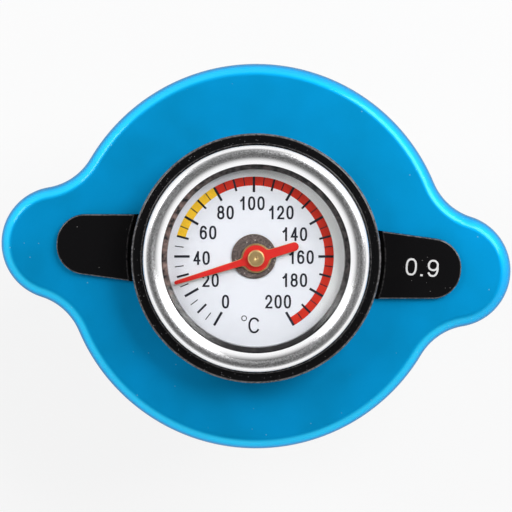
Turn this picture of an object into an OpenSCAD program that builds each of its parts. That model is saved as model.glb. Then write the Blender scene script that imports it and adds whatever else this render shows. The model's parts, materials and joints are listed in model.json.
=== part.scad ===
// Radiator cap with a built-in dial thermometer.
// The origin is on the cap's axis, in the plane of the filler neck's rim: the
// underside of the upper gasket. +Z is up towards the dial, +X is along an ear.

/* [Cover] */
// Diameter of the cover's round plate
disc_d = 64; // [61:0.5:70]
// Length of the cover over the tips of its two ears
ear_span = 84.8; // [82:0.2:92]
// Radius of an ear's rounded end
ear_r = 9.4; // [8.4:0.1:11]
// Radius of the hollow curve between the plate and an ear
neck_fillet = 10; // [7:0.5:13]
// Height of the cover
cover_h = 9.5; // [9:0.1:11]
// Rounding of the cover's upper edge
edge_round = 3; // [1.5:0.1:3.6]
// Chamfer of the cover's lower edge
edge_chamfer = 0.5; // [0.2:0.1:1]
// Thickness of the cover's web between the shell and the collar
web_t = 1.5; // [1.2:0.1:2.5]
// Depth of the recess that holds the collar's spigot
recess_depth = 3; // [2.5:0.1:3.5]

/* [Ear pads] */
// Margin between a pad's tip and the ear's tip
pad_margin = 9.1; // [7.5:0.1:10.5]
// Width of a pad near its tip
pad_tip_w = 9.9; // [9.5:0.1:11]
// Corner radius of a pad's tip
pad_corner = 4.7; // [3.5:0.1:4.7]
// Angle of each long side of a pad to the ear's axis
pad_taper = 4; // [0:0.5:6]
// Gap between the collar and a pad's hollow end
pad_gap = 1.2; // [0.8:0.1:2]
// Thickness of a pad
pad_t = 1.9; // [1.5:0.1:2.5]
// Depth of the recess that a pad lies in
pad_recess = 0.9; // [0.6:0.1:1.2]

/* [Collar] */
// Thickness of the collar's wall
collar_wall = 1.75; // [1.4:0.05:2.5]
// Height of the collar above the cover
collar_h = 5.95; // [5:0.05:6.5]
// Thickness of the collar's floor
collar_floor = 3.6; // [3.4:0.1:4.2]
// Rounding of the collar's outer upper edge
collar_round = 0.7; // [0.3:0.1:1.2]
// Chamfer of the collar's inner upper edge
collar_chamfer = 0.3; // [0.1:0.05:0.5]
// Ledge by which the collar's wall stands out over its spigot
collar_ledge = 3.3; // [2:0.1:4]

/* [Gauge] */
// Outer radius of the gauge case
case_r = 17.6; // [17:0.1:19]
// Sheet thickness of the gauge case
case_sheet = 0.6; // [0.4:0.1:0.8]
// Depth of the case below the shoulder that carries the dial
case_drop = 1.3; // [1.2:0.1:2]
// Width of that shoulder
case_shoulder = 1.1; // [0.9:0.1:1.5]
// Sheet thickness of the bezel's skirt
bezel_sheet = 0.65; // [0.5:0.05:0.9]
// Inner radius of the bezel's lip
bezel_lip_r = 15.2; // [14.9:0.1:15.8]
// Thickness of the bezel's lip
bezel_lip_t = 1; // [0.8:0.1:1.4]
// Rounding of the bezel's outer upper edge
bezel_round = 0.7; // [0.3:0.1:0.8]
// Width of the slope on the bezel's inner upper edge
bezel_slope = 0.9; // [0.5:0.1:1.2]
// Inward reach of the rim that crimps the bezel under the case
bezel_crimp = 0.8; // [0.5:0.1:1]
// Inner radius of the black gasket under the lens, the visible window
window_r = 14.4; // [14:0.1:14.8]
// Height of the gasket between the dial and the lens
gasket_h = 2.2; // [2.1:0.1:3]
// Thickness of the lens
lens_t = 1.4; // [1:0.1:1.8]
// Thickness of the dial plate
dial_t = 0.5; // [0.3:0.1:0.8]
// Angle by which the dial is turned from the ears, counter-clockwise from above
dial_turn = 4; // [-10:0.5:10]
// Radius of the bush in the middle of the dial
bush_r = 3.6; // [3.2:0.1:4.5]
// Height of the bush above the dial
bush_proud = 0.3; // [0.1:0.1:0.5]

/* [Pointer] */
// Temperature that the pointer shows at rest, in degrees Celsius
rest_temp = 28.7; // [0:0.1:200]
// Dial angle of zero degrees Celsius, counter-clockwise from the dial's right
zero_angle = 240; // [230:1:250]
// Dial angle for each degree Celsius
angle_per_degree = 1.5; // [1.4:0.01:1.6]
// Length of the pointer from its pivot to its tip
pointer_l = 13.86; // [12:0.1:13.9]
// Width of the pointer at its tip
pointer_tip_w = 0.7; // [0.4:0.1:1]
// Width of the pointer's blade at its hub
pointer_root_w = 1.45; // [1.1:0.05:2]
// Length of the pointer's tail
tail_l = 7.2; // [5:0.1:9]
// Width of the pointer's tail
tail_w = 1.4; // [1:0.1:2]
// Radius of the pointer's hub
hub_r = 2.18; // [1.8:0.02:2.6]
// Thickness of the pointer
pointer_t = 0.3; // [0.2:0.05:0.4]
// Gap between the bush and the pointer
pointer_gap = 0.25; // [0.15:0.05:0.35]
// Radius of the brass boss on the pointer's hub
boss_r = 1.36; // [1.1:0.02:1.7]
// Height of the boss
boss_h = 0.7; // [0.5:0.05:0.8]

/* [Probe] */
// Outer radius of the probe tube
probe_r = 3; // [2.9:0.05:3.1]
// Wall of the probe tube
probe_wall = 0.4; // [0.3:0.05:0.5]
// Depth of the probe's tip below the neck's rim
probe_reach = 31; // [29:0.5:40]
// Depth of the probe tube's lower end below the neck's rim
tube_reach = 28.5; // [27:0.5:28.5]
// Rounding of the probe's tip
tip_round = 2.2; // [0.8:0.1:2.4]
// Length of the plug's spigot in the tube
plug_l = 2; // [1.5:0.1:3]
// Radius of the spindle
spindle_r = 0.6; // [0.5:0.05:0.7]
// Radius of the spindle's tip in the pointer and the boss
tip_r = 0.4; // [0.3:0.05:0.45]
// Depth of the spindle's lower end below the neck's rim
spindle_reach = 12; // [10:0.5:14]
// Length of the guide at the spindle's lower end
guide_l = 3; // [2:0.1:4]
// Length of spindle below the guide
guide_clear = 1; // [0.5:0.1:2]
// Mean radius of the bimetal helix
helix_r = 1.75; // [1.65:0.05:1.85]
// Radius of the bimetal helix's strip
helix_wire_r = 0.3; // [0.2:0.05:0.35]
// Turns of the bimetal helix
helix_turns = 11; // [8:1:12]

/* [Shank] */
// Radius of the shank's thread
thread_r = 5; // [4.8:0.1:5.4]
// Radius of the shank's guide, on which the pressure valve slides
guide_r = 4.5; // [4.3:0.05:4.6]
// Radius of the shank's flange in the collar's floor
flange_r = 7; // [6:0.1:9]
// Thickness of that flange
flange_t = 1.4; // [1:0.1:1.8]
// Radius of the shank's neck in the case's floor
neck_r = 4; // [3.7:0.1:4.4]
// Radius of the rim rolled over the case's floor
rim_r = 4.8; // [4.6:0.1:5.5]
// Height of that rim
rim_t = 0.5; // [0.3:0.05:0.6]
// Length of the shank below its retaining ring
shank_tail = 1.2; // [0.8:0.1:2]
// Width of the lock nut across its flats
nut_af = 17; // [15:0.5:19]
// Height of the lock nut
nut_h = 2.5; // [2:0.1:3]
// Radius of the sealing washer over the nut
washer_r = 9; // [8:0.1:11]
// Thickness of the sealing washer
washer_t = 0.6; // [0.4:0.1:1]

/* [Shell] */
// Inner radius of the shell's skirt, which goes over the filler neck
shell_bore_r = 26.75; // [26:0.05:27.25]
// Sheet thickness of the shell
shell_sheet = 1; // [0.8:0.1:1.2]
// Rounding of the shell's outer upper edge
shell_round = 1.2; // [0.6:0.1:1.8]
// Depth of the full skirt below the neck's rim
skirt_reach = 1; // [0.5:0.1:2]
// Depth of the two lugs' lower faces below the neck's rim
lug_reach = 5; // [4.5:0.1:6]
// Inner radius of the lugs
lug_r = 24; // [23.6:0.1:25]
// Angle that each lug spans
lug_angle = 56; // [40:1:60]
// Angle that each low segment of the skirt spans
segment_angle = 70; // [64:1:90]
// Distance of the drive pins from the axis
pin_at = 22.5; // [21.9:0.1:24]
// Radius of a drive pin
pin_r = 1.5; // [1:0.1:1.8]
// Length of a drive pin in the cover
pin_in = 3; // [2:0.1:3.4]
// Length of a drive pin below the shell's top
pin_out = 0.9; // [0.5:0.1:1.2]

/* [Valve stack] */
// Thickness of the upper gasket
seat_gasket_t = 2.4; // [1.8:0.1:3]
// Outer radius of the upper gasket
seat_gasket_r = 23; // [22:0.1:23.4]
// Inner radius of the upper gasket
seat_gasket_bore = 17.6; // [17.5:0.1:18.5]
// Outer radius of the spring disc
spring_disc_r = 23.8; // [23.5:0.1:25]
// Thickness of the spring disc
spring_disc_t = 0.5; // [0.4:0.05:0.7]
// Rise of the spring disc's middle over its rim
disc_dish = 0.5; // [0.2:0.05:0.8]
// Outer radius of the spring cup
cup_r = 17; // [16.6:0.1:17.2]
// Sheet thickness of the spring cup
cup_sheet = 0.6; // [0.4:0.05:0.8]
// Depth of the spring cup's wall below the neck's rim
cup_reach = 4; // [2:0.1:6]
// Mean radius of the main spring
spring_r = 13.6; // [13.5:0.1:14.4]
// Radius of the main spring's wire
spring_wire_r = 0.9; // [0.7:0.05:0.95]
// Turns of the main spring
spring_turns = 5; // [4:0.5:5]

/* [Pressure valve] */
// Depth of the pressure seal's face below the neck's rim
seal_reach = 17; // [16:0.1:19]
// Thickness of the pressure seal
seal_t = 2.5; // [2.2:0.1:3]
// Outer radius of the pressure seal
seal_r = 17.2; // [17:0.1:17.4]
// Inner radius of the pressure seal
seal_bore = 12.6; // [12.4:0.1:13]
// Thickness of the seal's lip round the valve plate
seal_lip = 0.65; // [0.5:0.05:0.8]
// Thickness of the valve plate
plate_t = 1; // [0.8:0.1:1.3]
// Radius of the valve plate's hub
valve_hub_r = 7; // [6.8:0.05:7.1]
// Height of the hub above the valve plate
valve_hub_h = 3; // [2:0.1:4]
// Radius of the O-ring's section
oring_r = 0.8; // [0.6:0.05:0.9]
// Thickness of the retaining ring
ring_t = 0.8; // [0.6:0.05:1]
// Depth of the retaining ring's groove
ring_groove = 0.4; // [0.3:0.05:0.6]
// Outer radius of the retaining ring
ring_r = 6.2; // [5.8:0.1:6.6]
// Width of the retaining ring's opening
ring_opening = 3; // [2:0.1:4]

/* [Vacuum valve] */
// Distance of the vacuum valve from the axis
poppet_at = 9.7; // [9.6:0.02:9.8]
// Radius of the poppet's head
poppet_r = 2.35; // [2.2:0.05:2.4]
// Thickness of the poppet's head
poppet_t = 0.8; // [0.6:0.05:0.9]
// Radius of the poppet's stem
poppet_stem_r = 0.8; // [0.7:0.05:0.85]
// Thickness of the vacuum seal
poppet_seal_t = 0.8; // [0.6:0.05:0.9]
// Radius of the passages round the poppet's stem
passage_r = 0.3; // [0.2:0.02:0.34]
// Number of the passages
passages = 6; // [4:1:6]
// Length of the vacuum spring
poppet_spring_l = 3.9; // [3.6:0.1:5]
// Mean radius of the vacuum spring
poppet_spring_r = 2.1; // [2.05:0.05:2.15]
// Radius of the vacuum spring's wire
poppet_wire_r = 0.18; // [0.14:0.02:0.2]
// Turns of the vacuum spring
poppet_turns = 4; // [3:0.5:4]
// Thickness of the vacuum spring's keeper
keeper_t = 0.6; // [0.4:0.05:0.8]
// Length of stem above the keeper
stem_end = 0.3; // [0.2:0.05:0.6]

/* [Clearances] */
// Radial clearance of fixed pieces that are pushed into one another
fit_gap = 0.05; // [0.02:0.01:0.1]
// Radial clearance of a shaft in its bearing
run_gap = 0.05; // [0.03:0.01:0.08]
// Clearance of a loose piece round the shank
loose_gap = 0.3; // [0.2:0.05:0.5]
// Clearance between flat faces that turn or slide apart
face_gap = 0.03; // [0.01:0.01:0.06]
// Radial gap between the bezel and the collar
bezel_gap = 0.15; // [0.1:0.01:0.3]

/* [Hidden] */
$fn = 64;

// Length by which a cutter runs past the face that it opens
past = 1;

// Heights from the neck's rim up to the bezel
disc_rim_z = seat_gasket_t;
disc_z = disc_rim_z + disc_dish;
nut_z = disc_z + spring_disc_t + face_gap;
washer_z = nut_z + nut_h;
shell_z = washer_z + washer_t;
shell_top = shell_z + shell_sheet;
recess_z = shell_top + web_t;
cover_top = recess_z + recess_depth;
cover_z = cover_top - cover_h;
pad_z = cover_top - pad_recess;
case_z = recess_z + collar_floor;
case_floor_z = case_z + case_sheet;
collar_top = cover_top + collar_h;
rim_top = case_floor_z + rim_t;
shoulder_z = case_z + case_drop;
dial_z = shoulder_z + case_sheet;
dial_top = dial_z + dial_t;
bush_top = dial_top + bush_proud;
pointer_z = bush_top + pointer_gap;
boss_z = pointer_z + pointer_t;
boss_top = boss_z + boss_h;
lens_z = dial_top + gasket_h;
lens_top = lens_z + lens_t;
bezel_top = lens_top + bezel_lip_t;

// Radii of the head
disc_r = disc_d / 2;
case_bore_r = case_r - case_sheet;
case_low_r = case_r - case_shoulder;
bezel_bore_r = case_r + fit_gap;
bezel_r = bezel_bore_r + bezel_sheet;
collar_bore_r = bezel_r + bezel_gap;
collar_r = collar_bore_r + collar_wall;
spigot_r = collar_r - collar_ledge;
shell_r = shell_bore_r + shell_sheet;
shank_bore_r = probe_r + fit_gap;
probe_bore_r = probe_r - probe_wall;

// Heights of the valves, down from the neck's rim
seal_z = -seal_reach;
plate_z = seal_z + seal_t;
plate_top = plate_z + plate_t;
plate_r = seal_r - seal_lip;
cup_z = disc_z - cup_sheet;
hub_top = plate_top + valve_hub_h;
oring_mid_r = guide_r + run_gap + oring_r;
oring_z = seal_z + oring_r + fit_gap;
ring_z = seal_z - face_gap - ring_t;
groove_r = guide_r - ring_groove;
shank_end = ring_z - shank_tail;
poppet_seal_z = plate_z - face_gap - poppet_seal_t;
poppet_z = poppet_seal_z - poppet_t;
keeper_z = plate_top + poppet_spring_l;
passage_at = (poppet_stem_r + run_gap + poppet_spring_r - poppet_wire_r) / 2;

// Distance of a pad's tip from the axis
pad_tip = ear_span / 2 - pad_margin;

// Centre of the hollow curve between the plate and an ear, from its tangencies
ear_x = ear_span / 2 - ear_r;
fillet_from_axis = disc_r + neck_fillet;
fillet_from_ear = ear_r + neck_fillet;
fillet_cos = (fillet_from_axis ^ 2 + ear_x ^ 2 - fillet_from_ear ^ 2) / (2 * fillet_from_axis * ear_x);
fillet_turn = acos(fillet_cos);
fillet_c = fillet_from_axis * [cos(fillet_turn), sin(fillet_turn)];

// Angle of the pointer at rest, in the cap's frame
pointer_turn = dial_turn + zero_angle - angle_per_degree * rest_temp;

// Counts of the wound pieces: rings in a turn and sides of the wire
loop_rings = 24;
curl_rings = 8;
wire_sides = 6;
// Gap between neighbouring wires in the first and last turn of a spring
end_gap = 0.5;

// A ring between two radii, standing on a height
module ring(outer, inner, h, z) {
  translate([0, 0, z]) {
    difference() {
      cylinder(r = outer, h = h);
      translate([0, 0, -past]) cylinder(r = inner, h = h + 2 * past);
    }
  }
}

// Corner of a section to be cut away so that it is left rounded
module round_cut(r) {
  difference() {
    square(r + past);
    circle(r);
  }
}

// Half section of a round plate of the cover, chamfered below and rounded above
module plate_section(r) {
  difference() {
    translate([0, cover_z]) square([r, cover_h]);
    translate([r, cover_z]) rotate(45) square(edge_chamfer * sqrt(2), center = true);
    translate([r - edge_round, cover_top - edge_round]) round_cut(edge_round);
  }
}

// Half section of the cutter that hollows the curve between the plate and an ear
module cove_section() {
  translate([0, cover_z - past]) square([neck_fillet, cover_h + 2 * past]);
  translate([neck_fillet, cover_z]) rotate(45) square(edge_chamfer * sqrt(2), center = true);
  difference() {
    translate([neck_fillet, cover_top - edge_round]) square([edge_round, edge_round + past]);
    translate([neck_fillet + edge_round, cover_top - edge_round]) circle(edge_round);
  }
}

// Prism over the centres of the plate, an ear and the two hollow curves between
// them: the plate and the ear end at its flat sides, where the curves begin
module ear_prism(h, z) {
  translate([0, 0, z]) {
    linear_extrude(h) polygon([[0, 0], fillet_c, [ear_x, 0], [fillet_c.x, -fillet_c.y]]);
  }
}

// The cover's outer form, in pieces that meet on the prisms' sides
module cover_form() {
  difference() {
    rotate_extrude() plate_section(disc_r);
    for (side = [0, 180]) {
      rotate(side) ear_prism(cover_h + 2 * past, cover_z - past);
    }
  }
  for (side = [0, 180]) {
    rotate(side) {
      difference() {
        translate([ear_x, 0, 0]) rotate_extrude() plate_section(ear_r);
        ear_prism(cover_h + 2 * past, cover_z - past);
      }
      difference() {
        ear_prism(cover_h, cover_z);
        for (half = [1, -1]) {
          translate([fillet_c.x, half * fillet_c.y, 0]) rotate_extrude() cove_section();
        }
      }
    }
  }
}

// What is cut out of the cover: the shell's pocket, the collar's recess, the
// shank's hole, the ear pads' recesses and the drive pins' holes
module cover_cuts() {
  translate([0, 0, cover_z - past]) cylinder(r = shell_r + fit_gap, h = shell_top - cover_z + past);
  translate([0, 0, recess_z]) cylinder(r = spigot_r + fit_gap, h = recess_depth + past);
  translate([0, 0, shell_top - past]) cylinder(r = thread_r + fit_gap, h = web_t + 2 * past);
  for (turn = [0, 180]) {
    rotate(turn) translate([0, 0, pad_z]) linear_extrude(pad_recess + past) pad_outline(fit_gap);
  }
  at_drive_pins() translate([0, 0, shell_top - past]) cylinder(r = pin_r + fit_gap, h = pin_in + past);
}

// Outline of an ear pad on the right, grown all round by a clearance
module pad_outline(grow = 0) {
  r = pad_corner + grow;
  corner = [pad_tip - pad_corner, pad_tip_w / 2 - pad_corner];
  side = corner + r * [sin(pad_taper), cos(pad_taper)];
  hollow_r = collar_r + pad_gap - grow;
  root = [collar_r - past, side.y + (side.x - collar_r + past) * tan(pad_taper)];
  difference() {
    union() {
      for (half = [1, -1]) {
        translate([corner.x, half * corner.y]) circle(r);
      }
      polygon([
        side, root, [root.x, -root.y], [side.x, -side.y],
        [corner.x + r, -corner.y], [corner.x + r, corner.y]
      ]);
    }
    circle(hollow_r);
  }
}

module ear_pad(turn) {
  rotate(turn) translate([0, 0, pad_z]) linear_extrude(pad_t) pad_outline();
}

// The two places of the drive pins, in line with the gap between the ears
module at_drive_pins() {
  for (turn = [90, 270]) {
    rotate(turn) translate([pin_at, 0, 0]) children();
  }
}

// A wire wound round Z, from height z up over a length, with close first and last turns.
// Its rings stand square to the helix, and its faces are triangles.
function winding_z(turn, turns, rise, close) =
  turn <= 1 ? close * turn
  : turn >= turns - 1 ? rise - close * (turns - turn)
  : close + (rise - 2 * close) * (turn - 1) / (turns - 2);
function winding(r, turns, rise, close, rings) = [
  for (i = [0 : turns * rings])
    let (turn = i / rings, a = 360 * turn)
    [r * cos(a), r * sin(a), winding_z(turn, turns, rise, close)]
];
function own_gap(path, rings, wire_r) = min([
  for (i = [0 : len(path) - 1])
    for (j = [i + ceil(rings * 0.75) : 1 : len(path) - 1])
      norm(path[j] - path[i]) - 2 * wire_r
]);

module wire_tube(path, wire_r, z) {
  last = len(path) - 1;
  points = [
    for (i = [0 : last])
      let (
        along = path[min(i + 1, last)] - path[max(i - 1, 0)],
        out = [path[i].x, path[i].y, 0] / norm([path[i].x, path[i].y]),
        up = cross(along, -out) / norm(cross(along, out))
      )
      for (k = [0 : wire_sides - 1])
        let (a = 360 * k / wire_sides)
        path[i] + wire_r * (cos(a) * out + sin(a) * up) + [0, 0, z]
  ];
  sides = [
    for (i = [0 : last - 1])
      for (k = [0 : wire_sides - 1])
        let (
          a = i * wire_sides + k,
          b = i * wire_sides + (k + 1) % wire_sides,
          c = a + wire_sides,
          d = b + wire_sides
        )
        each [[a, b, c], [b, d, c]]
  ];
  far = last * wire_sides;
  ends = [
    for (k = [1 : wire_sides - 2])
      each [[0, k + 1, k], [far, far + k, far + k + 1]]
  ];
  polyhedron(points, concat(sides, ends));
}

main_rise = cup_z - plate_top - 2 * spring_wire_r - 2 * face_gap;
main_path = winding(spring_r, spring_turns, main_rise, 2 * spring_wire_r + end_gap, loop_rings);
poppet_rise = poppet_spring_l - 2 * poppet_wire_r - 2 * face_gap;
poppet_path = winding(poppet_spring_r, poppet_turns, poppet_rise, 2 * poppet_wire_r + end_gap, curl_rings);
helix_rise = tube_reach - plug_l - spindle_reach - 2 * helix_wire_r - 2 * face_gap;
helix_path = winding(helix_r, helix_turns, helix_rise, 2 * helix_wire_r + end_gap, curl_rings);
echo("least gap in main_spring", own_gap(main_path, loop_rings, spring_wire_r));
echo("least gap in vacuum_spring", own_gap(poppet_path, curl_rings, poppet_wire_r));
echo("least gap in bimetal_helix", own_gap(helix_path, curl_rings, helix_wire_r));

module cover() {
  color("steelblue") {
    difference() {
      cover_form();
      cover_cuts();
    }
  }
}

module ear_pad_left() {
  color("dimgray") ear_pad(180);
}

module ear_pad_right() {
  color("dimgray") ear_pad(0);
}

module collar() {
  hole_r = thread_r + fit_gap;
  color("black") {
    rotate_extrude() {
      difference() {
        union() {
          translate([hole_r, recess_z]) square([spigot_r - hole_r, recess_depth + past / 2]);
          translate([hole_r, cover_top]) square([collar_r - hole_r, collar_h]);
        }
        translate([0, case_z]) square([collar_bore_r, collar_top - case_z + past]);
        translate([0, case_z - flange_t]) square([flange_r + fit_gap, flange_t + past]);
        translate([collar_r - collar_round, collar_top - collar_round]) round_cut(collar_round);
        translate([collar_bore_r, collar_top]) rotate(45) square(collar_chamfer * sqrt(2), center = true);
      }
    }
  }
}

module drive_pins() {
  color("silver") {
    at_drive_pins() {
      translate([0, 0, shell_z - pin_out]) cylinder(r = pin_r, h = pin_out + shell_sheet + pin_in);
    }
  }
}

module shell() {
  color("lightgray") {
    difference() {
      union() {
        rotate_extrude() {
          difference() {
            translate([0, -lug_reach]) square([shell_r, shell_top + lug_reach]);
            translate([0, -lug_reach - past]) square([shell_bore_r, shell_z + lug_reach + past]);
            translate([shell_r - shell_round, shell_top - shell_round]) round_cut(shell_round);
          }
        }
        for (turn = [0, 180]) {
          rotate(turn - lug_angle / 2) rotate_extrude(angle = lug_angle) {
            translate([lug_r, -lug_reach]) square([shell_bore_r - lug_r + shell_sheet / 2, shell_sheet]);
          }
        }
      }
      translate([0, 0, shell_z - past]) cylinder(r = thread_r + fit_gap, h = shell_sheet + 2 * past);
      at_drive_pins() {
        translate([0, 0, shell_z - past]) cylinder(r = pin_r + fit_gap, h = shell_sheet + 2 * past);
      }
      for (turn = [segment_angle / 2, 180 + segment_angle / 2]) {
        rotate(turn) rotate_extrude(angle = 180 - segment_angle) {
          translate([lug_r - past, -lug_reach - past]) {
            square([shell_r - lug_r + 2 * past, lug_reach - skirt_reach + past]);
          }
        }
      }
    }
  }
}

module lock_nut() {
  color("goldenrod") {
    translate([0, 0, nut_z]) {
      difference() {
        cylinder(r = nut_af / 2 / cos(30), h = nut_h, $fn = 6);
        translate([0, 0, -past]) cylinder(r = thread_r + fit_gap, h = nut_h + 2 * past);
      }
    }
  }
}

module sealing_washer() {
  color("firebrick") ring(washer_r, thread_r + fit_gap, washer_t, washer_z);
}

module shank() {
  thread_end = cup_z - loose_gap;
  color("darkgoldenrod") {
    rotate_extrude() {
      polygon([
        [shank_bore_r, shank_end], [guide_r, shank_end], [guide_r, ring_z], [groove_r, ring_z],
        [groove_r, ring_z + ring_t], [guide_r, ring_z + ring_t], [guide_r, thread_end],
        [thread_r, thread_end], [thread_r, case_z - flange_t], [flange_r, case_z - flange_t],
        [flange_r, case_z], [neck_r, case_z], [neck_r, case_floor_z], [rim_r, case_floor_z],
        [rim_r, rim_top], [shank_bore_r, rim_top]
      ]);
    }
  }
}

module probe_tube() {
  color("silver") ring(probe_r, probe_bore_r, rim_top + tube_reach, -tube_reach);
}

module probe_plug() {
  color("silver") {
    rotate_extrude() {
      difference() {
        translate([0, -probe_reach]) {
          square([probe_r, probe_reach - tube_reach]);
          square([probe_bore_r - fit_gap, probe_reach - tube_reach + plug_l]);
        }
        translate([probe_r - tip_round, tip_round - probe_reach]) rotate(-90) round_cut(tip_round);
      }
    }
  }
}

module bimetal_helix() {
  color("peru") wire_tube(helix_path, helix_wire_r, plug_l - tube_reach + helix_wire_r + face_gap);
}

module spindle_guide() {
  color("goldenrod") ring(probe_bore_r - fit_gap, spindle_r + run_gap, guide_l, guide_clear - spindle_reach);
}

module spindle() {
  color("silver") {
    translate([0, 0, -spindle_reach]) {
      cylinder(r = spindle_r, h = pointer_z + spindle_reach);
      cylinder(r = tip_r, h = boss_top + spindle_reach);
    }
  }
}

module gauge_case() {
  hole_r = neck_r + fit_gap;
  color("silver") {
    rotate_extrude() {
      polygon([
        [hole_r, case_z], [case_low_r, case_z], [case_low_r, shoulder_z], [case_r, shoulder_z],
        [case_r, lens_z], [case_bore_r, lens_z], [case_bore_r, dial_z],
        [case_low_r - case_sheet, dial_z], [case_low_r - case_sheet, case_floor_z],
        [hole_r, case_floor_z]
      ]);
    }
  }
}

module bezel() {
  crimp_z = shoulder_z - bezel_sheet;
  color("gainsboro") {
    rotate_extrude() {
      difference() {
        translate([bezel_lip_r, crimp_z]) square([bezel_r - bezel_lip_r, bezel_top - crimp_z]);
        translate([0, shoulder_z]) square([bezel_bore_r, lens_top - shoulder_z]);
        translate([0, crimp_z - past]) square([bezel_bore_r - bezel_crimp, lens_top - crimp_z]);
        translate([bezel_r - bezel_round, bezel_top - bezel_round]) round_cut(bezel_round);
        polygon([
          [bezel_lip_r - past, bezel_top + past], [bezel_lip_r - past, lens_top + bezel_lip_t / 4],
          [bezel_lip_r, lens_top + bezel_lip_t / 4], [bezel_lip_r + bezel_slope, bezel_top],
          [bezel_lip_r + bezel_slope, bezel_top + past]
        ]);
      }
    }
  }
}

module lens() {
  color("lightcyan", 0.4) translate([0, 0, lens_z]) cylinder(r = case_bore_r - fit_gap, h = lens_t);
}

module lens_gasket() {
  color("black") ring(case_bore_r - fit_gap, window_r, gasket_h, dial_top);
}

module dial_plate() {
  color("white") ring(case_bore_r - fit_gap, bush_r + fit_gap, dial_t, dial_z);
}

module dial_bush() {
  color("gray") ring(bush_r, spindle_r + run_gap, bush_top - rim_top, rim_top);
}

module pointer() {
  color("red") {
    rotate(pointer_turn) {
      translate([0, 0, pointer_z]) {
        linear_extrude(pointer_t) {
          difference() {
            union() {
              circle(hub_r);
              polygon([
                [0, pointer_root_w / 2], [0, -pointer_root_w / 2],
                [pointer_l, -pointer_tip_w / 2], [pointer_l, pointer_tip_w / 2]
              ]);
              translate([tail_w / 2 - tail_l, -tail_w / 2]) square([tail_l - tail_w / 2, tail_w]);
              translate([tail_w / 2 - tail_l, 0]) circle(tail_w / 2);
            }
            circle(tip_r + fit_gap / 2);
          }
        }
      }
    }
  }
}

module pointer_boss() {
  color("darkkhaki") ring(boss_r, tip_r + fit_gap / 2, boss_h, boss_z);
}

module spring_disc() {
  hole_r = thread_r + loose_gap;
  color("silver") {
    rotate_extrude() {
      polygon([
        [hole_r, disc_z], [cup_r, disc_z], [seat_gasket_bore + disc_dish * 2, disc_rim_z],
        [spring_disc_r, disc_rim_z], [spring_disc_r, disc_rim_z + spring_disc_t],
        [seat_gasket_bore + disc_dish * 2, disc_rim_z + spring_disc_t],
        [cup_r, disc_z + spring_disc_t], [hole_r, disc_z + spring_disc_t]
      ]);
    }
  }
}

module upper_gasket() {
  color("black") ring(seat_gasket_r, seat_gasket_bore, seat_gasket_t, 0);
}

module spring_cup() {
  color("silver") {
    difference() {
      translate([0, 0, -cup_reach]) cylinder(r = cup_r, h = disc_z + cup_reach);
      translate([0, 0, -cup_reach - past]) cylinder(r = cup_r - cup_sheet, h = cup_z + cup_reach + past);
      translate([0, 0, cup_z - past]) cylinder(r = thread_r + loose_gap, h = cup_sheet + 2 * past);
    }
  }
}

module main_spring() {
  color("silver") wire_tube(main_path, spring_wire_r, plate_top + spring_wire_r + face_gap);
}

module valve_plate() {
  bore_r = guide_r + run_gap;
  color("lightgray") {
    difference() {
      union() {
        translate([0, 0, seal_z]) cylinder(r = valve_hub_r, h = hub_top - seal_z);
        translate([0, 0, plate_z]) cylinder(r = plate_r, h = plate_t);
      }
      translate([0, 0, seal_z - past]) cylinder(r = bore_r, h = hub_top - seal_z + 2 * past);
      translate([0, 0, seal_z - past]) {
        cylinder(r = oring_mid_r + oring_r + fit_gap, h = 2 * oring_r + 2 * fit_gap + past);
      }
      translate([poppet_at, 0, plate_z - past]) {
        cylinder(r = poppet_stem_r + run_gap, h = plate_t + 2 * past);
        for (k = [1 : passages]) {
          rotate(360 * k / passages) {
            translate([passage_at, 0, 0]) cylinder(r = passage_r, h = plate_t + 2 * past);
          }
        }
      }
    }
  }
}

module pressure_seal() {
  lip_in = 2 * seal_lip;
  color("black") {
    rotate_extrude() {
      polygon([
        [seal_bore, seal_z], [seal_r, seal_z], [seal_r, plate_top + seal_lip],
        [seal_r - lip_in, plate_top + seal_lip], [seal_r - lip_in, plate_top],
        [plate_r, plate_top], [plate_r, plate_z], [seal_bore, plate_z]
      ]);
    }
  }
}

module stem_oring() {
  color("black") rotate_extrude() translate([oring_mid_r, oring_z]) circle(oring_r);
}

module retaining_ring() {
  color("dimgray") {
    difference() {
      ring(ring_r, groove_r + fit_gap, ring_t - fit_gap, ring_z + fit_gap / 2);
      translate([0, -ring_opening / 2, ring_z - past]) cube([ring_r + past, ring_opening, ring_t + 2 * past]);
    }
  }
}

module vacuum_poppet() {
  color("goldenrod") {
    translate([poppet_at, 0, poppet_z]) {
      cylinder(r = poppet_r, h = poppet_t);
      cylinder(r = poppet_stem_r, h = keeper_z + keeper_t + stem_end - poppet_z);
    }
  }
}

module vacuum_seal() {
  color("black") {
    translate([poppet_at, 0, 0]) {
      ring(poppet_r, poppet_stem_r + fit_gap, poppet_seal_t, poppet_seal_z);
    }
  }
}

module vacuum_spring() {
  color("silver") {
    translate([poppet_at, 0, 0]) wire_tube(poppet_path, poppet_wire_r, plate_top + poppet_wire_r + face_gap);
  }
}

module spring_keeper() {
  color("silver") {
    translate([poppet_at, 0, 0]) {
      ring(poppet_spring_r + poppet_wire_r, poppet_stem_r + fit_gap / 2, keeper_t, keeper_z);
    }
  }
}

cover();
ear_pad_left();
ear_pad_right();
collar();
drive_pins();
shell();
lock_nut();
sealing_washer();
shank();
probe_tube();
probe_plug();
bimetal_helix();
spindle_guide();
spindle();
gauge_case();
bezel();
lens();
lens_gasket();
dial_plate();
dial_bush();
pointer();
pointer_boss();
spring_disc();
upper_gasket();
spring_cup();
main_spring();
valve_plate();
pressure_seal();
stem_oring();
retaining_ring();
vacuum_poppet();
vacuum_seal();
vacuum_spring();
spring_keeper();
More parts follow.
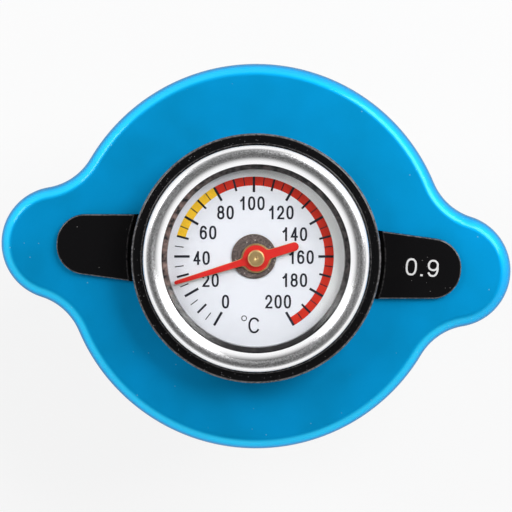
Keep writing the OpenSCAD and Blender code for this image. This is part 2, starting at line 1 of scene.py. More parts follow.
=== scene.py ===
"""Radiator cap with a dial thermometer: finished pieces around the packed solids.

Lengths in the code are in metres, in the frame of the solids: the origin is on the cap's axis in the plane
of the filler neck's rim, +Z is up towards the dial and +X is along the right-hand ear.
"""

import json
import math

import bmesh
import bpy
from mathutils import Matrix, Vector


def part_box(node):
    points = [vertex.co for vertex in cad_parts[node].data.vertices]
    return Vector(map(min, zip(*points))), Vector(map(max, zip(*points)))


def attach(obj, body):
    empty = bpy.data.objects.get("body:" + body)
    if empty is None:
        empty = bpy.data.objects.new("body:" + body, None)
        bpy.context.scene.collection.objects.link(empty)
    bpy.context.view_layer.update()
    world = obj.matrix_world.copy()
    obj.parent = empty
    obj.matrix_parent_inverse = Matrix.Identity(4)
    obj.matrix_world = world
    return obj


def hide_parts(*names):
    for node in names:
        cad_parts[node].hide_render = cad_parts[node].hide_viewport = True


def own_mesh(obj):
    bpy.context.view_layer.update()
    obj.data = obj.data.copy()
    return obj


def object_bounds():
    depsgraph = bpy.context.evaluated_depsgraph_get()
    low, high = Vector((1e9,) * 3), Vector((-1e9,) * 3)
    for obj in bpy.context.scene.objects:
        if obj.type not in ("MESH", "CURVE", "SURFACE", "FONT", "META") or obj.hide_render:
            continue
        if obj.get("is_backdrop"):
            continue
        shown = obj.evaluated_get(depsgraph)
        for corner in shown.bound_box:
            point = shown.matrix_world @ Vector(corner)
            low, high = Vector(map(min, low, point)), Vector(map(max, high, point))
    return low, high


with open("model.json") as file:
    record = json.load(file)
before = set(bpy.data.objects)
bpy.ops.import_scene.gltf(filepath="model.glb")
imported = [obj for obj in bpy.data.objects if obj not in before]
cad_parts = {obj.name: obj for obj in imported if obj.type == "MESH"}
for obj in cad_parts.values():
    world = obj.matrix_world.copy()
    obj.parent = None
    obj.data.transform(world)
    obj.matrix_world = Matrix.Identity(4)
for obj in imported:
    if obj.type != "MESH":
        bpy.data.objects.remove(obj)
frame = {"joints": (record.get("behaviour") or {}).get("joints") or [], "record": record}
CAD_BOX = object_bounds()

bl_info = {
    "name": "Radiator Cap Thermometer",
    "version": (1, 0, 0),
    "blender": (4, 5, 0),
    "location": "View3D > Sidebar > Radiator Cap",
    "description": "Builds a radiator cap with a dial thermometer around its solids",
    "category": "Add Mesh",
}

MM = 0.001
PAST = 1.0 * MM  # How far a cutter reaches past what it cuts
SAME = 1e-8  # Points nearer to one another than this are merged
SMOOTH_BELOW = math.radians(35.0)  # Faces that meet at less than this are shaded as one
ROUND_ABOVE = math.radians(50.0)  # Edges that turn by more than this can be rounded
SLOT = {row["node"]: row["material_slot"] for row in frame["record"]["subparts"]}
BODY = {node: body for body, nodes in frame["record"]["behaviour"]["bodies"].items() for node in nodes}


# Places of the solids

def foot(node):
    """Height of a solid's lowest point."""
    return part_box(node)[0].z


def top(node):
    """Height of a solid's highest point."""
    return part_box(node)[1].z


def outer(node):
    """Outer radius of a round solid on the cap's axis."""
    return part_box(node)[1].x


# Properties that a user would change

def length(name, description, millimetres):
    """A length, given in millimetres."""
    return bpy.props.FloatProperty(
        name=name, description=description, default=millimetres * MM, unit="LENGTH", precision=5
    )


def angle(name, description, degrees):
    """An angle, given in degrees."""
    return bpy.props.FloatProperty(
        name=name, description=description, default=math.radians(degrees), subtype="ANGLE"
    )


def number(name, description, default):
    """A plain number."""
    return bpy.props.FloatProperty(name=name, description=description, default=default)


def count(name, description, default):
    """A whole number, from one."""
    return bpy.props.IntProperty(name=name, description=description, default=default, min=1)


def colour(name, description, *default):
    """A colour, given by its linear red, green and blue."""
    return bpy.props.FloatVectorProperty(
        name=name, description=description, default=default, size=3, min=0.0, max=1.0, subtype="COLOR"
    )


class CoverSizes(bpy.types.PropertyGroup):
    """Sizes of the cover and the ear pads"""

    ear_radius: length("Ear radius", "Radius of an ear's rounded end", 9.4)
    hollow_radius: length("Hollow radius", "Radius of the hollow curve between plate and ear", 10)
    edge_round: length("Edge rounding", "Width of the rounding of the cover's upper edge", 2.2)
    edge_drop: length("Edge drop", "Height of the rounding of the cover's upper edge", 3)
    edge_chamfer: length("Lower chamfer", "Chamfer of the cover's lower edge", 0.5)
    recess_depth: length("Recess depth", "Depth of the recess that holds the collar", 3)
    fit: length("Fit", "Clearance of pieces that are pushed into one another", 0.05)
    pad_corner: length("Pad corner", "Corner radius of a pad's tip", 4.7)
    pad_tip_width: length("Pad tip width", "Width of a pad near its tip", 9.9)
    pad_taper: angle("Pad taper", "Angle of a pad's long sides to the ear's axis", 4)
    pad_gap: length("Pad gap", "Gap between the collar and a pad's hollow end", 0.2)
    pad_slope: length("Pad slope", "Width of the slope down to a pad's hollow end", 1.0)
    pad_bevel: length("Pad bevel", "Rounding of a pad's edges", 0.32)
    pads_right: length("Pads right", "Shift of both pads' tips to the right", 0.45)
    pads_up: length("Pads up", "Shift of both pads' sides upwards", 0.2)
    pin_radius: length("Pin radius", "Radius of a drive pin", 1.5)
    rating_height: length("Rating height", "Height of the digits on the right pad", 2.82)
    rating_width: length("Rating width", "Width of one digit on the right pad", 1.82)
    rating_step: length("Rating step", "Distance from one digit to the next on the right pad", 2.39)
    rating_stroke: length("Rating stroke", "Stroke of the digits on the right pad", 0.31)
    rating_ink: length("Rating ink", "Thickness of the print on the right pad", 0.02)
    rating_right: length("Rating right", "Place of the digits' middle to the right of the axis", 27.3)
    rating_up: length("Rating up", "Place of the digits' middle above the axis", 0.27)


class GaugeSizes(bpy.types.PropertyGroup):
    """Sizes of the collar and the gauge's housing"""

    collar_wall: length("Collar wall", "Thickness of the collar's wall", 1.75)
    collar_round: length("Collar rounding", "Rounding of the collar's outer upper edge", 0.55)
    collar_chamfer: length("Collar chamfer", "Rounding of the collar's inner upper edge", 0.3)
    collar_ledge: length("Collar ledge", "Ledge of the collar over its spigot", 3.3)
    case_sheet: length("Case sheet", "Sheet thickness of the gauge case", 0.6)
    case_shoulder: length("Case shoulder", "Width of the shoulder that carries the dial", 1.1)
    bezel_sheet: length("Bezel sheet", "Sheet thickness of the bezel's skirt", 0.65)
    bezel_crimp: length("Bezel crimp", "Inward reach of the bezel's crimped rim", 0.8)
    bezel_lip: length("Bezel lip", "Inner radius of the bezel's lip", 15.2)
    bezel_edge: length("Bezel edge", "Height of the lip's inner edge over the lens", 0.2)
    bezel_crown: length("Bezel crown", "Height of the bezel's rounded crown over its outer wall", 1.05)
    bezel_ridge: length("Bezel ridge", "Radius of the bezel's highest line", 16.95)
    window: length("Window", "Inner radius of the gasket under the lens", 14.4)
    gasket_slope: length("Gasket slope", "Width of the slope on the gasket's inner edge", 0.75)


class DialLayout(bpy.types.PropertyGroup):
    """Layout of the scale and sizes of the pointer"""

    turn: angle("Dial turn", "Angle by which the dial is turned from the ears", 4)
    zero: angle("Zero", "Dial angle of the scale's first mark", 240)
    span: angle("Span", "Angle of the whole scale", 300)
    divisions: count("Divisions", "Smallest divisions of the scale", 40)
    yellow_from: count("Yellow band", "Division at which the yellow band starts", 10)
    red_from: count("Red band", "Division at which the red band starts", 16)
    scale_radius: length("Scale radius", "Outer radius of the scale", 12.98)
    band_radius: length("Band radius", "Inner radius of the coloured band", 11.54)
    long_mark: length("Long mark", "Inner radius of the long marks", 10.46)
    middle_mark: length("Middle mark", "Inner radius of the middle marks", 10.99)
    long_width: length("Long mark width", "Width of the long marks", 0.4)
    middle_width: length("Middle mark width", "Width of the middle marks", 0.34)
    short_width: length("Short mark width", "Width of the short marks", 0.16)
    shift_right: length("Print shift right", "Shift of the whole print to the dial's right", -0.34)
    shift_up: length("Print shift up", "Shift of the whole print to the dial's top", 0.27)
    ink: length("Ink", "Thickness of one layer of print", 0.015)
    digit_height: length("Digit height", "Height of the numbers", 2.24)
    digit_width: length("Digit width", "Width of one digit", 1.19)
    digit_step: length("Digit step", "Distance from one digit to the next", 1.52)
    digit_stroke: length("Digit stroke", "Stroke of the digits", 0.33)
    unit_height: length("Unit height", "Height of the unit's letter", 2.6)
    unit_width: length("Unit width", "Width of the unit's letter", 1.9)
    unit_stroke: length("Unit stroke", "Stroke of the unit's letter", 0.31)
    degree_radius: length("Degree sign", "Outer radius of the degree sign", 0.46)
    degree_stroke: length("Degree stroke", "Stroke of the degree sign", 0.13)
    rest: angle("Pointer rest", "Dial angle of the pointer at rest, from the dial's right", 196.95)
    pointer_length: length("Pointer length", "Length from the pivot to the tip", 13.86)
    pointer_tip: length("Pointer tip", "Width of the pointer at its tip", 0.58)
    pointer_root: length("Pointer root", "Width of the blade at the hub", 1.2)
    tail_length: length("Tail length", "Length of the pointer's tail", 7.2)
    tail_width: length("Tail width", "Width of the pointer's tail", 1.4)
    hub: length("Hub", "Radius of the paint on the pointer's hub", 2.14)
    hub_plate: length("Hub plate", "Radius of the pointer's hub", 2.4)


class ShellSizes(bpy.types.PropertyGroup):
    """Sizes of the shell, the shank and the probe"""

    sheet: length("Sheet", "Sheet thickness of the shell", 1)
    top_round: length("Top rounding", "Rounding of the shell's upper edge", 1.2)
    skirt: length("Skirt", "Depth of the full skirt below the neck's rim", 1)
    lug_radius: length("Lug radius", "Inner radius of the lugs", 24)
    lug_bend: length("Lug bend", "Outer radius of the bend into a lug", 1.3)
    lug_angle: angle("Lug angle", "Angle that each lug spans", 56)
    segment_angle: angle("Segment angle", "Angle that each low segment of the skirt spans", 70)
    thread: length("Thread", "Radius of the shank's thread", 5)
    guide: length("Guide", "Radius of the shank's guide", 4.5)
    neck: length("Neck", "Radius of the shank's neck in the case", 4)
    rim: length("Rim", "Radius of the rim rolled over the case's floor", 4.8)
    rim_height: length("Rim height", "Height of that rim", 0.5)
    flange: length("Flange", "Thickness of the shank's flange", 1.4)
    groove: length("Groove", "Depth of the retaining ring's groove", 0.4)
    opening: length("Opening", "Opening of the retaining ring", 3)
    nut: length("Nut", "Width of the lock nut across its flats", 17)
    probe_wall: length("Probe wall", "Wall of the probe tube", 0.4)
    probe_round: length("Probe rounding", "Rounding of the probe's tip", 2.2)
    spindle_tip: length("Spindle tip", "Radius of the spindle's tip", 0.4)
    loose: length("Loose fit", "Clearance of loose pieces round the shank", 0.3)


class ValveSizes(bpy.types.PropertyGroup):
    """Sizes of the spring stack and the two valves"""

    disc_sheet: length("Spring disc", "Thickness of the spring disc", 0.5)
    dish_width: length("Dish width", "Radial width of the spring disc's slope", 1.6)
    gasket_bore: length("Gasket bore", "Inner radius of the upper gasket", 17.6)
    cup_sheet: length("Cup sheet", "Sheet thickness of the spring cup", 0.6)
    seal_bore: length("Seal bore", "Inner radius of the pressure seal", 12.6)
    seal_lip: length("Seal lip", "Thickness of the pressure seal's lip", 0.65)
    plate: length("Valve plate", "Thickness of the valve plate", 1)
    hub: length("Valve hub", "Radius of the valve plate's hub", 7)
    passage: length("Passage", "Radius of the passages round the poppet", 0.3)
    passages: count("Passages", "Number of the passages", 6)
    poppet_at: length("Poppet place", "Distance of the vacuum valve from the axis", 9.7)
    poppet_head: length("Poppet head", "Thickness of the poppet's head", 0.8)
    poppet_stem: length("Poppet stem", "Radius of the poppet's stem", 0.8)
    wire: length("Main wire", "Radius of the main spring's wire", 0.9)
    wire_turns: count("Main turns", "Turns of the main spring", 5)
    small_wire: length("Small wire", "Radius of the vacuum spring's wire", 0.18)
    small_turns: count("Small turns", "Turns of the vacuum spring", 4)
    strip: length("Bimetal strip", "Radius of the bimetal helix's strip", 0.3)
    strip_turns: count("Bimetal turns", "Turns of the bimetal helix", 11)
    end_gap: length("End gap", "Gap between the wires of a spring's end turns", 0.5)


class Finishes(bpy.types.PropertyGroup):
    """Colours of the finishes"""

    blue: colour("Blue", "Blue anodised aluminium", 0.003, 0.48, 0.95)
    black: colour("Black", "Glossy black", 0.006, 0.0058, 0.0064)
    zinc: colour("Zinc", "Zinc plating", 0.58, 0.57, 0.535)
    stainless: colour("Stainless", "Stainless steel", 0.6, 0.6, 0.61)
    bezel: colour("Bezel", "Bright bezel steel", 0.88, 0.88, 0.89)
    crown: colour("Bezel crown", "Worn crown of the bezel", 0.68, 0.68, 0.69)
    brass: colour("Brass", "Turned brass", 0.74, 0.52, 0.24)
    fibre: colour("Fibre", "Red fibre washer", 0.4, 0.06, 0.04)
    bimetal: colour("Bimetal", "Bimetal strip", 0.52, 0.4, 0.26)
    glass: colour("Glass", "Lens glass", 0.98, 0.99, 0.99)
    dial: colour("Dial", "White dial", 0.73, 0.74, 0.79)
    bush: colour("Bush", "Sintered bush", 0.12, 0.092, 0.085)
    red: colour("Pointer red", "Red paint of the pointer", 0.6, 0.018, 0.014)
    spring: colour("Spring steel", "Spring steel", 0.58, 0.58, 0.59)
    rubber: colour("Rubber", "Moulded rubber", 0.022, 0.022, 0.023)
    ink_black: colour("Black ink", "Black print of the dial", 0.01, 0.011, 0.02)
    ink_red: colour("Red ink", "Red band of the scale", 0.6, 0.022, 0.007)
    ink_yellow: colour("Yellow ink", "Yellow band of the scale", 0.9, 0.53, 0.022)
    ink_white: colour("White ink", "White digits on the pad", 0.82, 0.82, 0.82)


class StageSettings(bpy.types.PropertyGroup):
    """Camera, floor and studio light"""

    distance: length("Camera distance", "Distance of the camera from the plate", 278)
    view_width: length("View width", "Width of the view at the plate's edge", 85.2)
    aim_right: length("Aim right", "Aim of the camera to the right of the axis", -0.01)
    aim_up: length("Aim up", "Aim of the camera above the axis", 0.13)
    tilt: angle("Tilt", "Tilt of the camera from straight above", 2)
    floor_size: length("Floor size", "Width of the floor", 8000)
    floor_seen: number("Floor seen", "Share of plain white in the floor that the camera sees", 0.8)
    floor_mirrored: number("Floor mirrored", "Share of plain white in the mirrored floor", 0.2)
    sky_side: number("Side light", "Brightness of the light all round", 1.1)
    sky_cap: number("Overhead", "Brightness of the dark patch overhead", 0.03)
    cap_inner: angle("Patch inner edge", "Angle at which the dark patch starts to fade", 32)
    cap_outer: angle("Patch outer edge", "Angle at which the dark patch has faded", 66)
    lamp_brightness: number("Lamp brightness", "Brightness of a softbox's face", 6.0)
    lamp_distance: length("Lamp distance", "Distance of a softbox from the cap", 700)
    lamp_elevation: angle("Lamp elevation", "Elevation of the softboxes", 41)
    main_lamp: angle("Main lamp", "Direction of the main softbox, on the right", 38)
    main_width: length("Main lamp width", "Width and height of the main softbox", 410)
    fill_lamp: angle("Fill lamp", "Direction of the smaller softbox, on the left", 148)
    fill_width: length("Fill lamp width", "Width and height of the smaller softbox", 215)


# Node trees

def add(tree, kind, inputs=(), **settings):
    """Adds a node, with its settings, and links or fills its inputs, given by name or in order."""
    node = tree.nodes.new(kind)
    for key, value in settings.items():
        setattr(node, key, value)
    for key, value in inputs.items() if isinstance(inputs, dict) else enumerate(inputs):
        if isinstance(value, bpy.types.NodeSocket):
            tree.links.new(value, node.inputs[key])
        elif value is not None:
            node.inputs[key].default_value = value
    return node


def maths(tree, operation, *values):
    """The result of one calculation."""
    return add(tree, "ShaderNodeMath", values, operation=operation).outputs[0]


def spread(tree, value, low, high, to_low, to_high, kind="LINEAR"):
    """A value mapped from one range to another and held at its ends."""
    node = add(tree, "ShaderNodeMapRange", (value, low, high, to_low, to_high), interpolation_type=kind)
    return node.outputs[0]


def band(tree, value, ends, kind="LINEAR"):
    """One between the inner two of four ends, in rising order, and fading to zero at the outer two."""
    start, full, fade, end = ends
    rising = spread(tree, value, start, full, 0, 1, kind)
    falling = spread(tree, value, fade, end, 1, 0, kind)
    return maths(tree, "MULTIPLY", rising, falling)


def blend(tree, factor, first, second):
    """A mix of two colours, each a socket or a plain colour."""
    first, second = (
        value if isinstance(value, bpy.types.NodeSocket) else (*value, 1.0) for value in (first, second)
    )
    return add(tree, "ShaderNodeMix", {0: factor, 6: first, 7: second}, data_type="RGBA").outputs[2]


def shade(value, share):
    """A colour made lighter or darker by a share."""
    return tuple(min(1.0, channel * share) for channel in value)


class Finish:
    """A material with one main shader, and short forms for its patterns on Object coordinates."""

    def __init__(self, name, base, **sockets):
        self.material = bpy.data.materials.new("finish_" + name)
        self.material.use_nodes = True
        self.tree = self.material.node_tree
        self.shader = self.tree.nodes["Principled BSDF"]
        self.place = self.tree.nodes.new("ShaderNodeTexCoord").outputs["Object"]
        self.set("Base Color", base)
        self.material.diffuse_color = (*base, 1.0)
        for key, value in sockets.items():
            self.set(key.replace("_", " "), value)

    def set(self, socket, value):
        """Links a socket of the shader, or gives it a plain number or colour."""
        target = self.shader.inputs[socket]
        if isinstance(value, bpy.types.NodeSocket):
            self.tree.links.new(value, target)
        else:
            target.default_value = value if isinstance(value, (int, float)) else (*value, 1.0)

    def axis(self, name):
        """One of the three Object coordinates."""
        return add(self.tree, "ShaderNodeSeparateXYZ", (self.place,)).outputs[name]

    def below(self, height):
        """Depth under a height."""
        return maths(self.tree, "SUBTRACT", height, self.axis("Z"))

    def radius(self):
        """Distance from the cap's axis."""
        flat = add(self.tree, "ShaderNodeVectorMath", (self.place, (1.0, 1.0, 0.0)), operation="MULTIPLY")
        away = add(self.tree, "ShaderNodeVectorMath", (flat.outputs[0],), operation="LENGTH")
        return away.outputs["Value"]

    def stretched(self, scale, turn=0.0):
        """Object coordinates turned about Z and scaled on each axis."""
        node = add(self.tree, "ShaderNodeMapping", {0: self.place, "Rotation": (0, 0, turn), "Scale": scale})
        return node.outputs[0]

    def noise(self, size, detail, place=None):
        """A soft pattern with patches of about a size."""
        inputs = {"Vector": place or self.place, "Scale": 1 / size, "Detail": detail}
        return add(self.tree, "ShaderNodeTexNoise", inputs).outputs[0]

    def dust(self, cell, size, share):
        """One where a speck of dust lies, in a share of the cells, and zero elsewhere."""
        node = add(self.tree, "ShaderNodeTexVoronoi", {"Vector": self.place, "Scale": 1 / cell})
        chance = add(self.tree, "ShaderNodeSeparateColor", (node.outputs["Color"],))
        own_size = spread(self.tree, chance.outputs[1], 0, 1, 0.4 * size / cell, size / cell)
        near = maths(self.tree, "LESS_THAN", node.outputs["Distance"], own_size)
        return maths(self.tree, "MULTIPLY", near, maths(self.tree, "LESS_THAN", chance.outputs[0], share))

    def tones(self, pattern, base, dark, light):
        """A darker and a lighter shade of a base colour, mixed by a pattern."""
        return blend(self.tree, pattern, shade(base, dark), shade(base, light))

    def gloss(self, pattern, smooth, rough):
        """A roughness that follows a noise, most of which lies between 0.3 and 0.7."""
        return spread(self.tree, pattern, 0.3, 0.7, smooth, rough)

    def bump(self, height, depth, strength):
        """Raises the surface by a pattern, only in the way that it takes the light."""
        node = add(self.tree, "ShaderNodeBump", {"Height": height, "Distance": depth, "Strength": strength})
        self.set("Normal", node.outputs[0])


def plain_metal(name, base, rough, grain=0.2 * MM, lines=None, depth=0.012 * MM):
    """Metal with a soft change of tone, uneven polish and a fine grain, drawn along lines if given."""
    made = Finish(name, base, Metallic=1.0)
    fine = made.noise(1.0, 2.0, made.stretched(lines)) if lines else made.noise(grain, 2.0)
    made.set("Base Color", made.tones(made.noise(6 * MM, 3.0), base, 0.82, 1.12))
    made.set("Roughness", made.gloss(fine, rough - 0.08, rough + 0.1))
    made.bump(fine, depth, 0.5)
    return made


def blue_anodised(c):
    """Dyed aluminium with a clear seal, with a painted highlight on the rounded upper edge and painted shade
    on the side.
    """
    painted_highlight_blue, speck = (0.012, 0.64, 1.0), (0.2, 0.68, 0.95)
    coat = {"Coat_Weight": 0.55, "Coat_Roughness": 0.1, "Coat_IOR": 1.42}
    made = Finish("blue_anodised", c.blue, Metallic=1.0, Specular_Tint=(0.15, 0.6, 1.0), **coat)
    tree = made.tree
    cloud = made.noise(11 * MM, 3.0)
    depth = made.below(top("cover"))
    # A paler blue on the rounded upper edge is a painted highlight, and a darker blue on the steep side is
    # painted shade.
    painted_highlight_mask = band(tree, depth, (0.015 * MM, 0.14 * MM, 0.6 * MM, 1.3 * MM))
    painted_side_shade = spread(tree, depth, 0.8 * MM, 1.9 * MM, 0, 1)
    # The painted highlight on the edge is weakest on the upper right.
    to_right = maths(tree, "ADD", made.axis("X"), made.axis("Y"))
    painted_highlight_mask = maths(tree, "MULTIPLY", painted_highlight_mask, spread(tree, to_right, 20 * MM, 42 * MM, 1, 0.1))
    tone = blend(tree, painted_highlight_mask, made.tones(cloud, c.blue, 0.92, 1.05), painted_highlight_blue)
    tone = blend(tree, painted_side_shade, tone, shade(c.blue, 0.5))
    made.set("Base Color", blend(tree, made.dust(1.2 * MM, 0.12 * MM, 0.24), tone, speck))
    made.set("Roughness", made.gloss(cloud, 0.54, 0.6))
    made.bump(made.noise(0.16 * MM, 2.0), 0.004 * MM, 0.35)
    return made


def black_gloss(c):
    """Glossy black with smears and specks, dusty on the collar and paler along the upper edges, partly from
    wear and partly as a painted highlight.
    """
    dust, speck, worn_and_highlit = (0.13, 0.13, 0.135), (0.15, 0.145, 0.14), (0.16, 0.15, 0.155)
    made = Finish("black_gloss", c.black, Specular_IOR_Level=0.5)
    tree = made.tree
    on_collar = maths(tree, "LESS_THAN", made.radius(), outer("collar") + 0.1 * MM)
    on_pads = maths(tree, "SUBTRACT", 1.0, on_collar)
    # Dust lies mostly on the collar's left.
    dusty = maths(tree, "MULTIPLY", made.dust(0.36 * MM, 0.1 * MM, 0.45), on_collar)
    dusty = maths(tree, "MULTIPLY", dusty, spread(tree, made.axis("X"), -20 * MM, 14 * MM, 1, 0.25))
    # The paler band along the upper edges of the pads and the collar is partly wear and partly a painted
    # highlight.
    worn_and_highlit_edges = 0.0
    for node, width, there in (("ear_pad_right", 0.32 * MM, on_pads), ("collar", 0.5 * MM, on_collar)):
        edge = band(tree, made.below(top(node)), (0.05 * width, 0.2 * width, 0.6 * width, width))
        worn_and_highlit_edges = maths(tree, "MULTIPLY_ADD", edge, there, worn_and_highlit_edges)
    worn_and_highlit_edges = maths(tree, "MULTIPLY", spread(tree, made.noise(0.5 * MM, 3.0), 0.4, 0.62, 0.2, 1), worn_and_highlit_edges)
    tone = blend(tree, dusty, c.black, dust)
    tone = blend(tree, made.dust(0.8 * MM, 0.09 * MM, 0.3), tone, speck)
    made.set("Base Color", blend(tree, worn_and_highlit_edges, tone, worn_and_highlit))
    made.set("Roughness", made.gloss(made.noise(5 * MM, 4.0), 0.08, 0.18))
    made.bump(made.noise(0.5 * MM, 2.0), 0.006 * MM, 0.3)
    return made


def bezel_steel(c):
    """Polished on its slopes, dull and grainy along the ridge between them."""
    ridge = bpy.context.scene.radcap_gauge.bezel_ridge
    made = Finish("bezel_steel", c.bezel, Metallic=1.0)
    tree = made.tree
    ends = (ridge - 0.75 * MM, ridge - 0.25 * MM, ridge + 0.2 * MM, ridge + 0.7 * MM)
    on_ridge = band(tree, made.radius(), ends, "SMOOTHSTEP")
    grit = made.noise(0.22 * MM, 3.0)
    worn = made.tones(spread(tree, grit, 0.35, 0.65, 0, 1), c.crown, 0.7, 1.3)
    made.set("Base Color", blend(tree, on_ridge, c.bezel, worn))
    made.set("Roughness", maths(tree, "MULTIPLY_ADD", on_ridge, made.gloss(grit, 0.1, 0.26), 0.2))
    made.bump(maths(tree, "MULTIPLY", grit, on_ridge), 0.03 * MM, 0.4)
    return made


def gasket_black(c):
    """Black rubber with a wet look, browner on the left, with paler patches towards the top as a painted
    reflection.
    """
    patch_grey, brown = (0.085, 0.07, 0.07), (0.24, 0.15, 0.13)
    made = Finish("gasket_black", shade(c.black, 14), Specular_IOR_Level=0.4)
    tree = made.tree
    patchy = made.noise(0.9 * MM, 4.0)
    on_left = spread(tree, made.axis("X"), -14 * MM, -8 * MM, 1, 0)
    # Paler patches gather towards the top as a painted reflection, and the bottom stays nearly black.
    painted_reflection_upwards = spread(tree, made.axis("Y"), -9.5 * MM, -3 * MM, 0.1, 1)
    reflection_patches = maths(tree, "MULTIPLY", spread(tree, patchy, 0.36, 0.66, 0, 1), painted_reflection_upwards)
    made.set("Base Color", blend(tree, reflection_patches, shade(c.black, 2), blend(tree, on_left, patch_grey, brown)))
    made.set("Roughness", made.gloss(patchy, 0.1, 0.22))
    return made


def brass(c):
    """Turned brass, with fine rings from the lathe in place of the grain."""
    made = plain_metal("brass", c.brass, 0.4)
    waves = maths(made.tree, "MULTIPLY", made.radius(), 2 * math.pi / (0.16 * MM))
    made.bump(maths(made.tree, "SINE", waves), 0.006 * MM, 0.4)
    return made


def glass(c):
    """Clear glass that lets the lamps through to the dial."""
    made = Finish("glass", c.glass, Transmission_Weight=1.0, IOR=1.22)
    tree = made.tree
    made.set("Roughness", spread(tree, made.noise(4 * MM, 3.0), 0.4, 0.8, 0.0, 0.02))
    shadow = add(tree, "ShaderNodeLightPath").outputs["Is Shadow Ray"]
    clear = add(tree, "ShaderNodeBsdfTransparent", {"Color": (0.95, 0.95, 0.95, 1.0)})
    both = add(tree, "ShaderNodeMixShader", (shadow, made.shader.outputs[0], clear.outputs[0]))
    tree.links.new(both.outputs[0], tree.nodes["Material Output"].inputs["Surface"])
    return made


def dial_white(c):
    """White enamel, with painted light along its rim on the upper right."""
    made = Finish("dial_white", c.dial, Roughness=0.45, Specular_IOR_Level=0.3)
    tree = made.tree
    # The lighter rim on the upper right is painted light against the shadow of the bezel.
    to_right = maths(tree, "MULTIPLY_ADD", made.axis("Y"), 0.7, made.axis("X"))
    near_rim = spread(tree, made.radius(), 11 * MM, 13 * MM, 0, 1)
    painted_rim_light = maths(tree, "MULTIPLY", near_rim, spread(tree, to_right, 2 * MM, 9 * MM, 0, 1))
    tone = made.tones(made.noise(7 * MM, 3.0), c.dial, 0.97, 1.03)
    made.set("Base Color", blend(tree, painted_rim_light, tone, shade(c.dial, 1.36)))
    made.bump(made.noise(0.2 * MM, 2.0), 0.002 * MM, 0.3)
    return made


def sintered_bush(c):
    """Dark pressed powder, with pores and bright grains."""
    glint = (0.42, 0.38, 0.33)
    made = Finish("sintered_bush", c.bush, Metallic=0.55)
    grains = made.noise(0.32 * MM, 3.0)
    tone = made.tones(spread(made.tree, grains, 0.35, 0.65, 0, 1), c.bush, 0.6, 1.6)
    made.set("Base Color", blend(made.tree, made.dust(0.42 * MM, 0.13 * MM, 0.3), tone, glint))
    made.set("Roughness", made.gloss(grains, 0.45, 0.7))
    made.bump(grains, 0.03 * MM, 0.6)
    return made


def paint(name, base, rough, grain):
    """Paint or print with a slightly uneven tone and gloss."""
    made = Finish(name, base, Specular_IOR_Level=0.35)
    patchy = made.noise(grain, 3.0)
    made.set("Base Color", made.tones(patchy, base, 0.88, 1.1))
    made.set("Roughness", made.gloss(patchy, rough - 0.06, rough + 0.06))
    return made


def rubber(c):
    """Dull black rubber with the skin of its mould."""
    made = Finish("rubber", c.rubber, Specular_IOR_Level=0.3)
    skin = made.noise(0.35 * MM, 4.0)
    made.set("Base Color", made.tones(made.noise(5 * MM, 2.0), c.rubber, 0.75, 1.4))
    made.set("Roughness", made.gloss(skin, 0.5, 0.68))
    made.bump(skin, 0.02 * MM, 0.5)
    return made


def red_fibre(c):
    """Pressed fibre with strands in one direction."""
    made = Finish("red_fibre", c.fibre, Roughness=0.8, Specular_IOR_Level=0.2)
    strands = made.noise(1.0, 4.0, made.stretched((2500, 600, 2500), 0.6))
    made.set("Base Color", made.tones(strands, c.fibre, 0.6, 1.4))
    made.bump(strands, 0.03 * MM, 0.6)
    return made


def make_finish(name, c):
    """The finish of that name, which is a material slot of the record or an ink."""
    makers = {
        "blue_anodised": lambda: blue_anodised(c),
        "black_gloss": lambda: black_gloss(c),
        "gasket_black": lambda: gasket_black(c),
        "zinc_steel": lambda: plain_metal("zinc_steel", c.zinc, 0.36, 0.3 * MM),
        "stainless": lambda: plain_metal("stainless", c.stainless, 0.3, lines=(9000, 9000, 300)),
        "bezel_steel": lambda: bezel_steel(c),
        "brass": lambda: brass(c),
        "red_fibre": lambda: red_fibre(c),
        "bimetal": lambda: plain_metal("bimetal", c.bimetal, 0.4, 0.15 * MM),
        "glass": lambda: glass(c),
        "dial_white": lambda: dial_white(c),
        "sintered_bush": lambda: sintered_bush(c),
        "pointer_red": lambda: paint("pointer_red", c.red, 0.4, 2 * MM),
        "spring_steel": lambda: plain_metal("spring_steel", c.spring, 0.36, 1.5 * MM, depth=0.002 * MM),
        "rubber": lambda: rubber(c),
        "ink_black": lambda: paint("ink_black", c.ink_black, 0.45, 0.8 * MM),
        "ink_red": lambda: paint("ink_red", c.ink_red, 0.45, 0.9 * MM),
        "ink_yellow": lambda: paint("ink_yellow", c.ink_yellow, 0.45, 0.9 * MM),
        "ink_white": lambda: paint("ink_white", c.ink_white, 0.5, 0.8 * MM),
    }
    return makers[name]().material


def finish_of(name):
    """The finish of that name, made when it is first asked for."""
    made = bpy.data.materials.get("finish_" + name)
    return made or make_finish(name, bpy.context.scene.radcap_finishes)


# Meshes

def new_object(name, data):
    """A new object of the scene."""
    made = bpy.data.objects.new(name, data)
    bpy.context.scene.collection.objects.link(made)
    return made


def close_build(name, build):
    """An object with the mesh that was built, whose working copy is let go."""
    mesh = bpy.data.meshes.new(name)
    build.to_mesh(mesh)
    build.free()
    return new_object(name, mesh)


def solid(name, points, faces):
    """A mesh object from points and faces, with doubles merged and its faces outwards."""
    build = bmesh.new()
    corners = [build.verts.new(point) for point in points]
    for face in faces:
        build.faces.new([corners[index] for index in face])
    bmesh.ops.remove_doubles(build, verts=build.verts, dist=SAME)
    bmesh.ops.recalc_face_normals(build, faces=build.faces)
    return close_build(name, build)


def joined(name, parts):
    """One object from several meshes."""
    build = bmesh.new()
    for part in parts:
        build.from_mesh(part.data)
        bpy.data.objects.remove(part)
    return close_build(name, build)


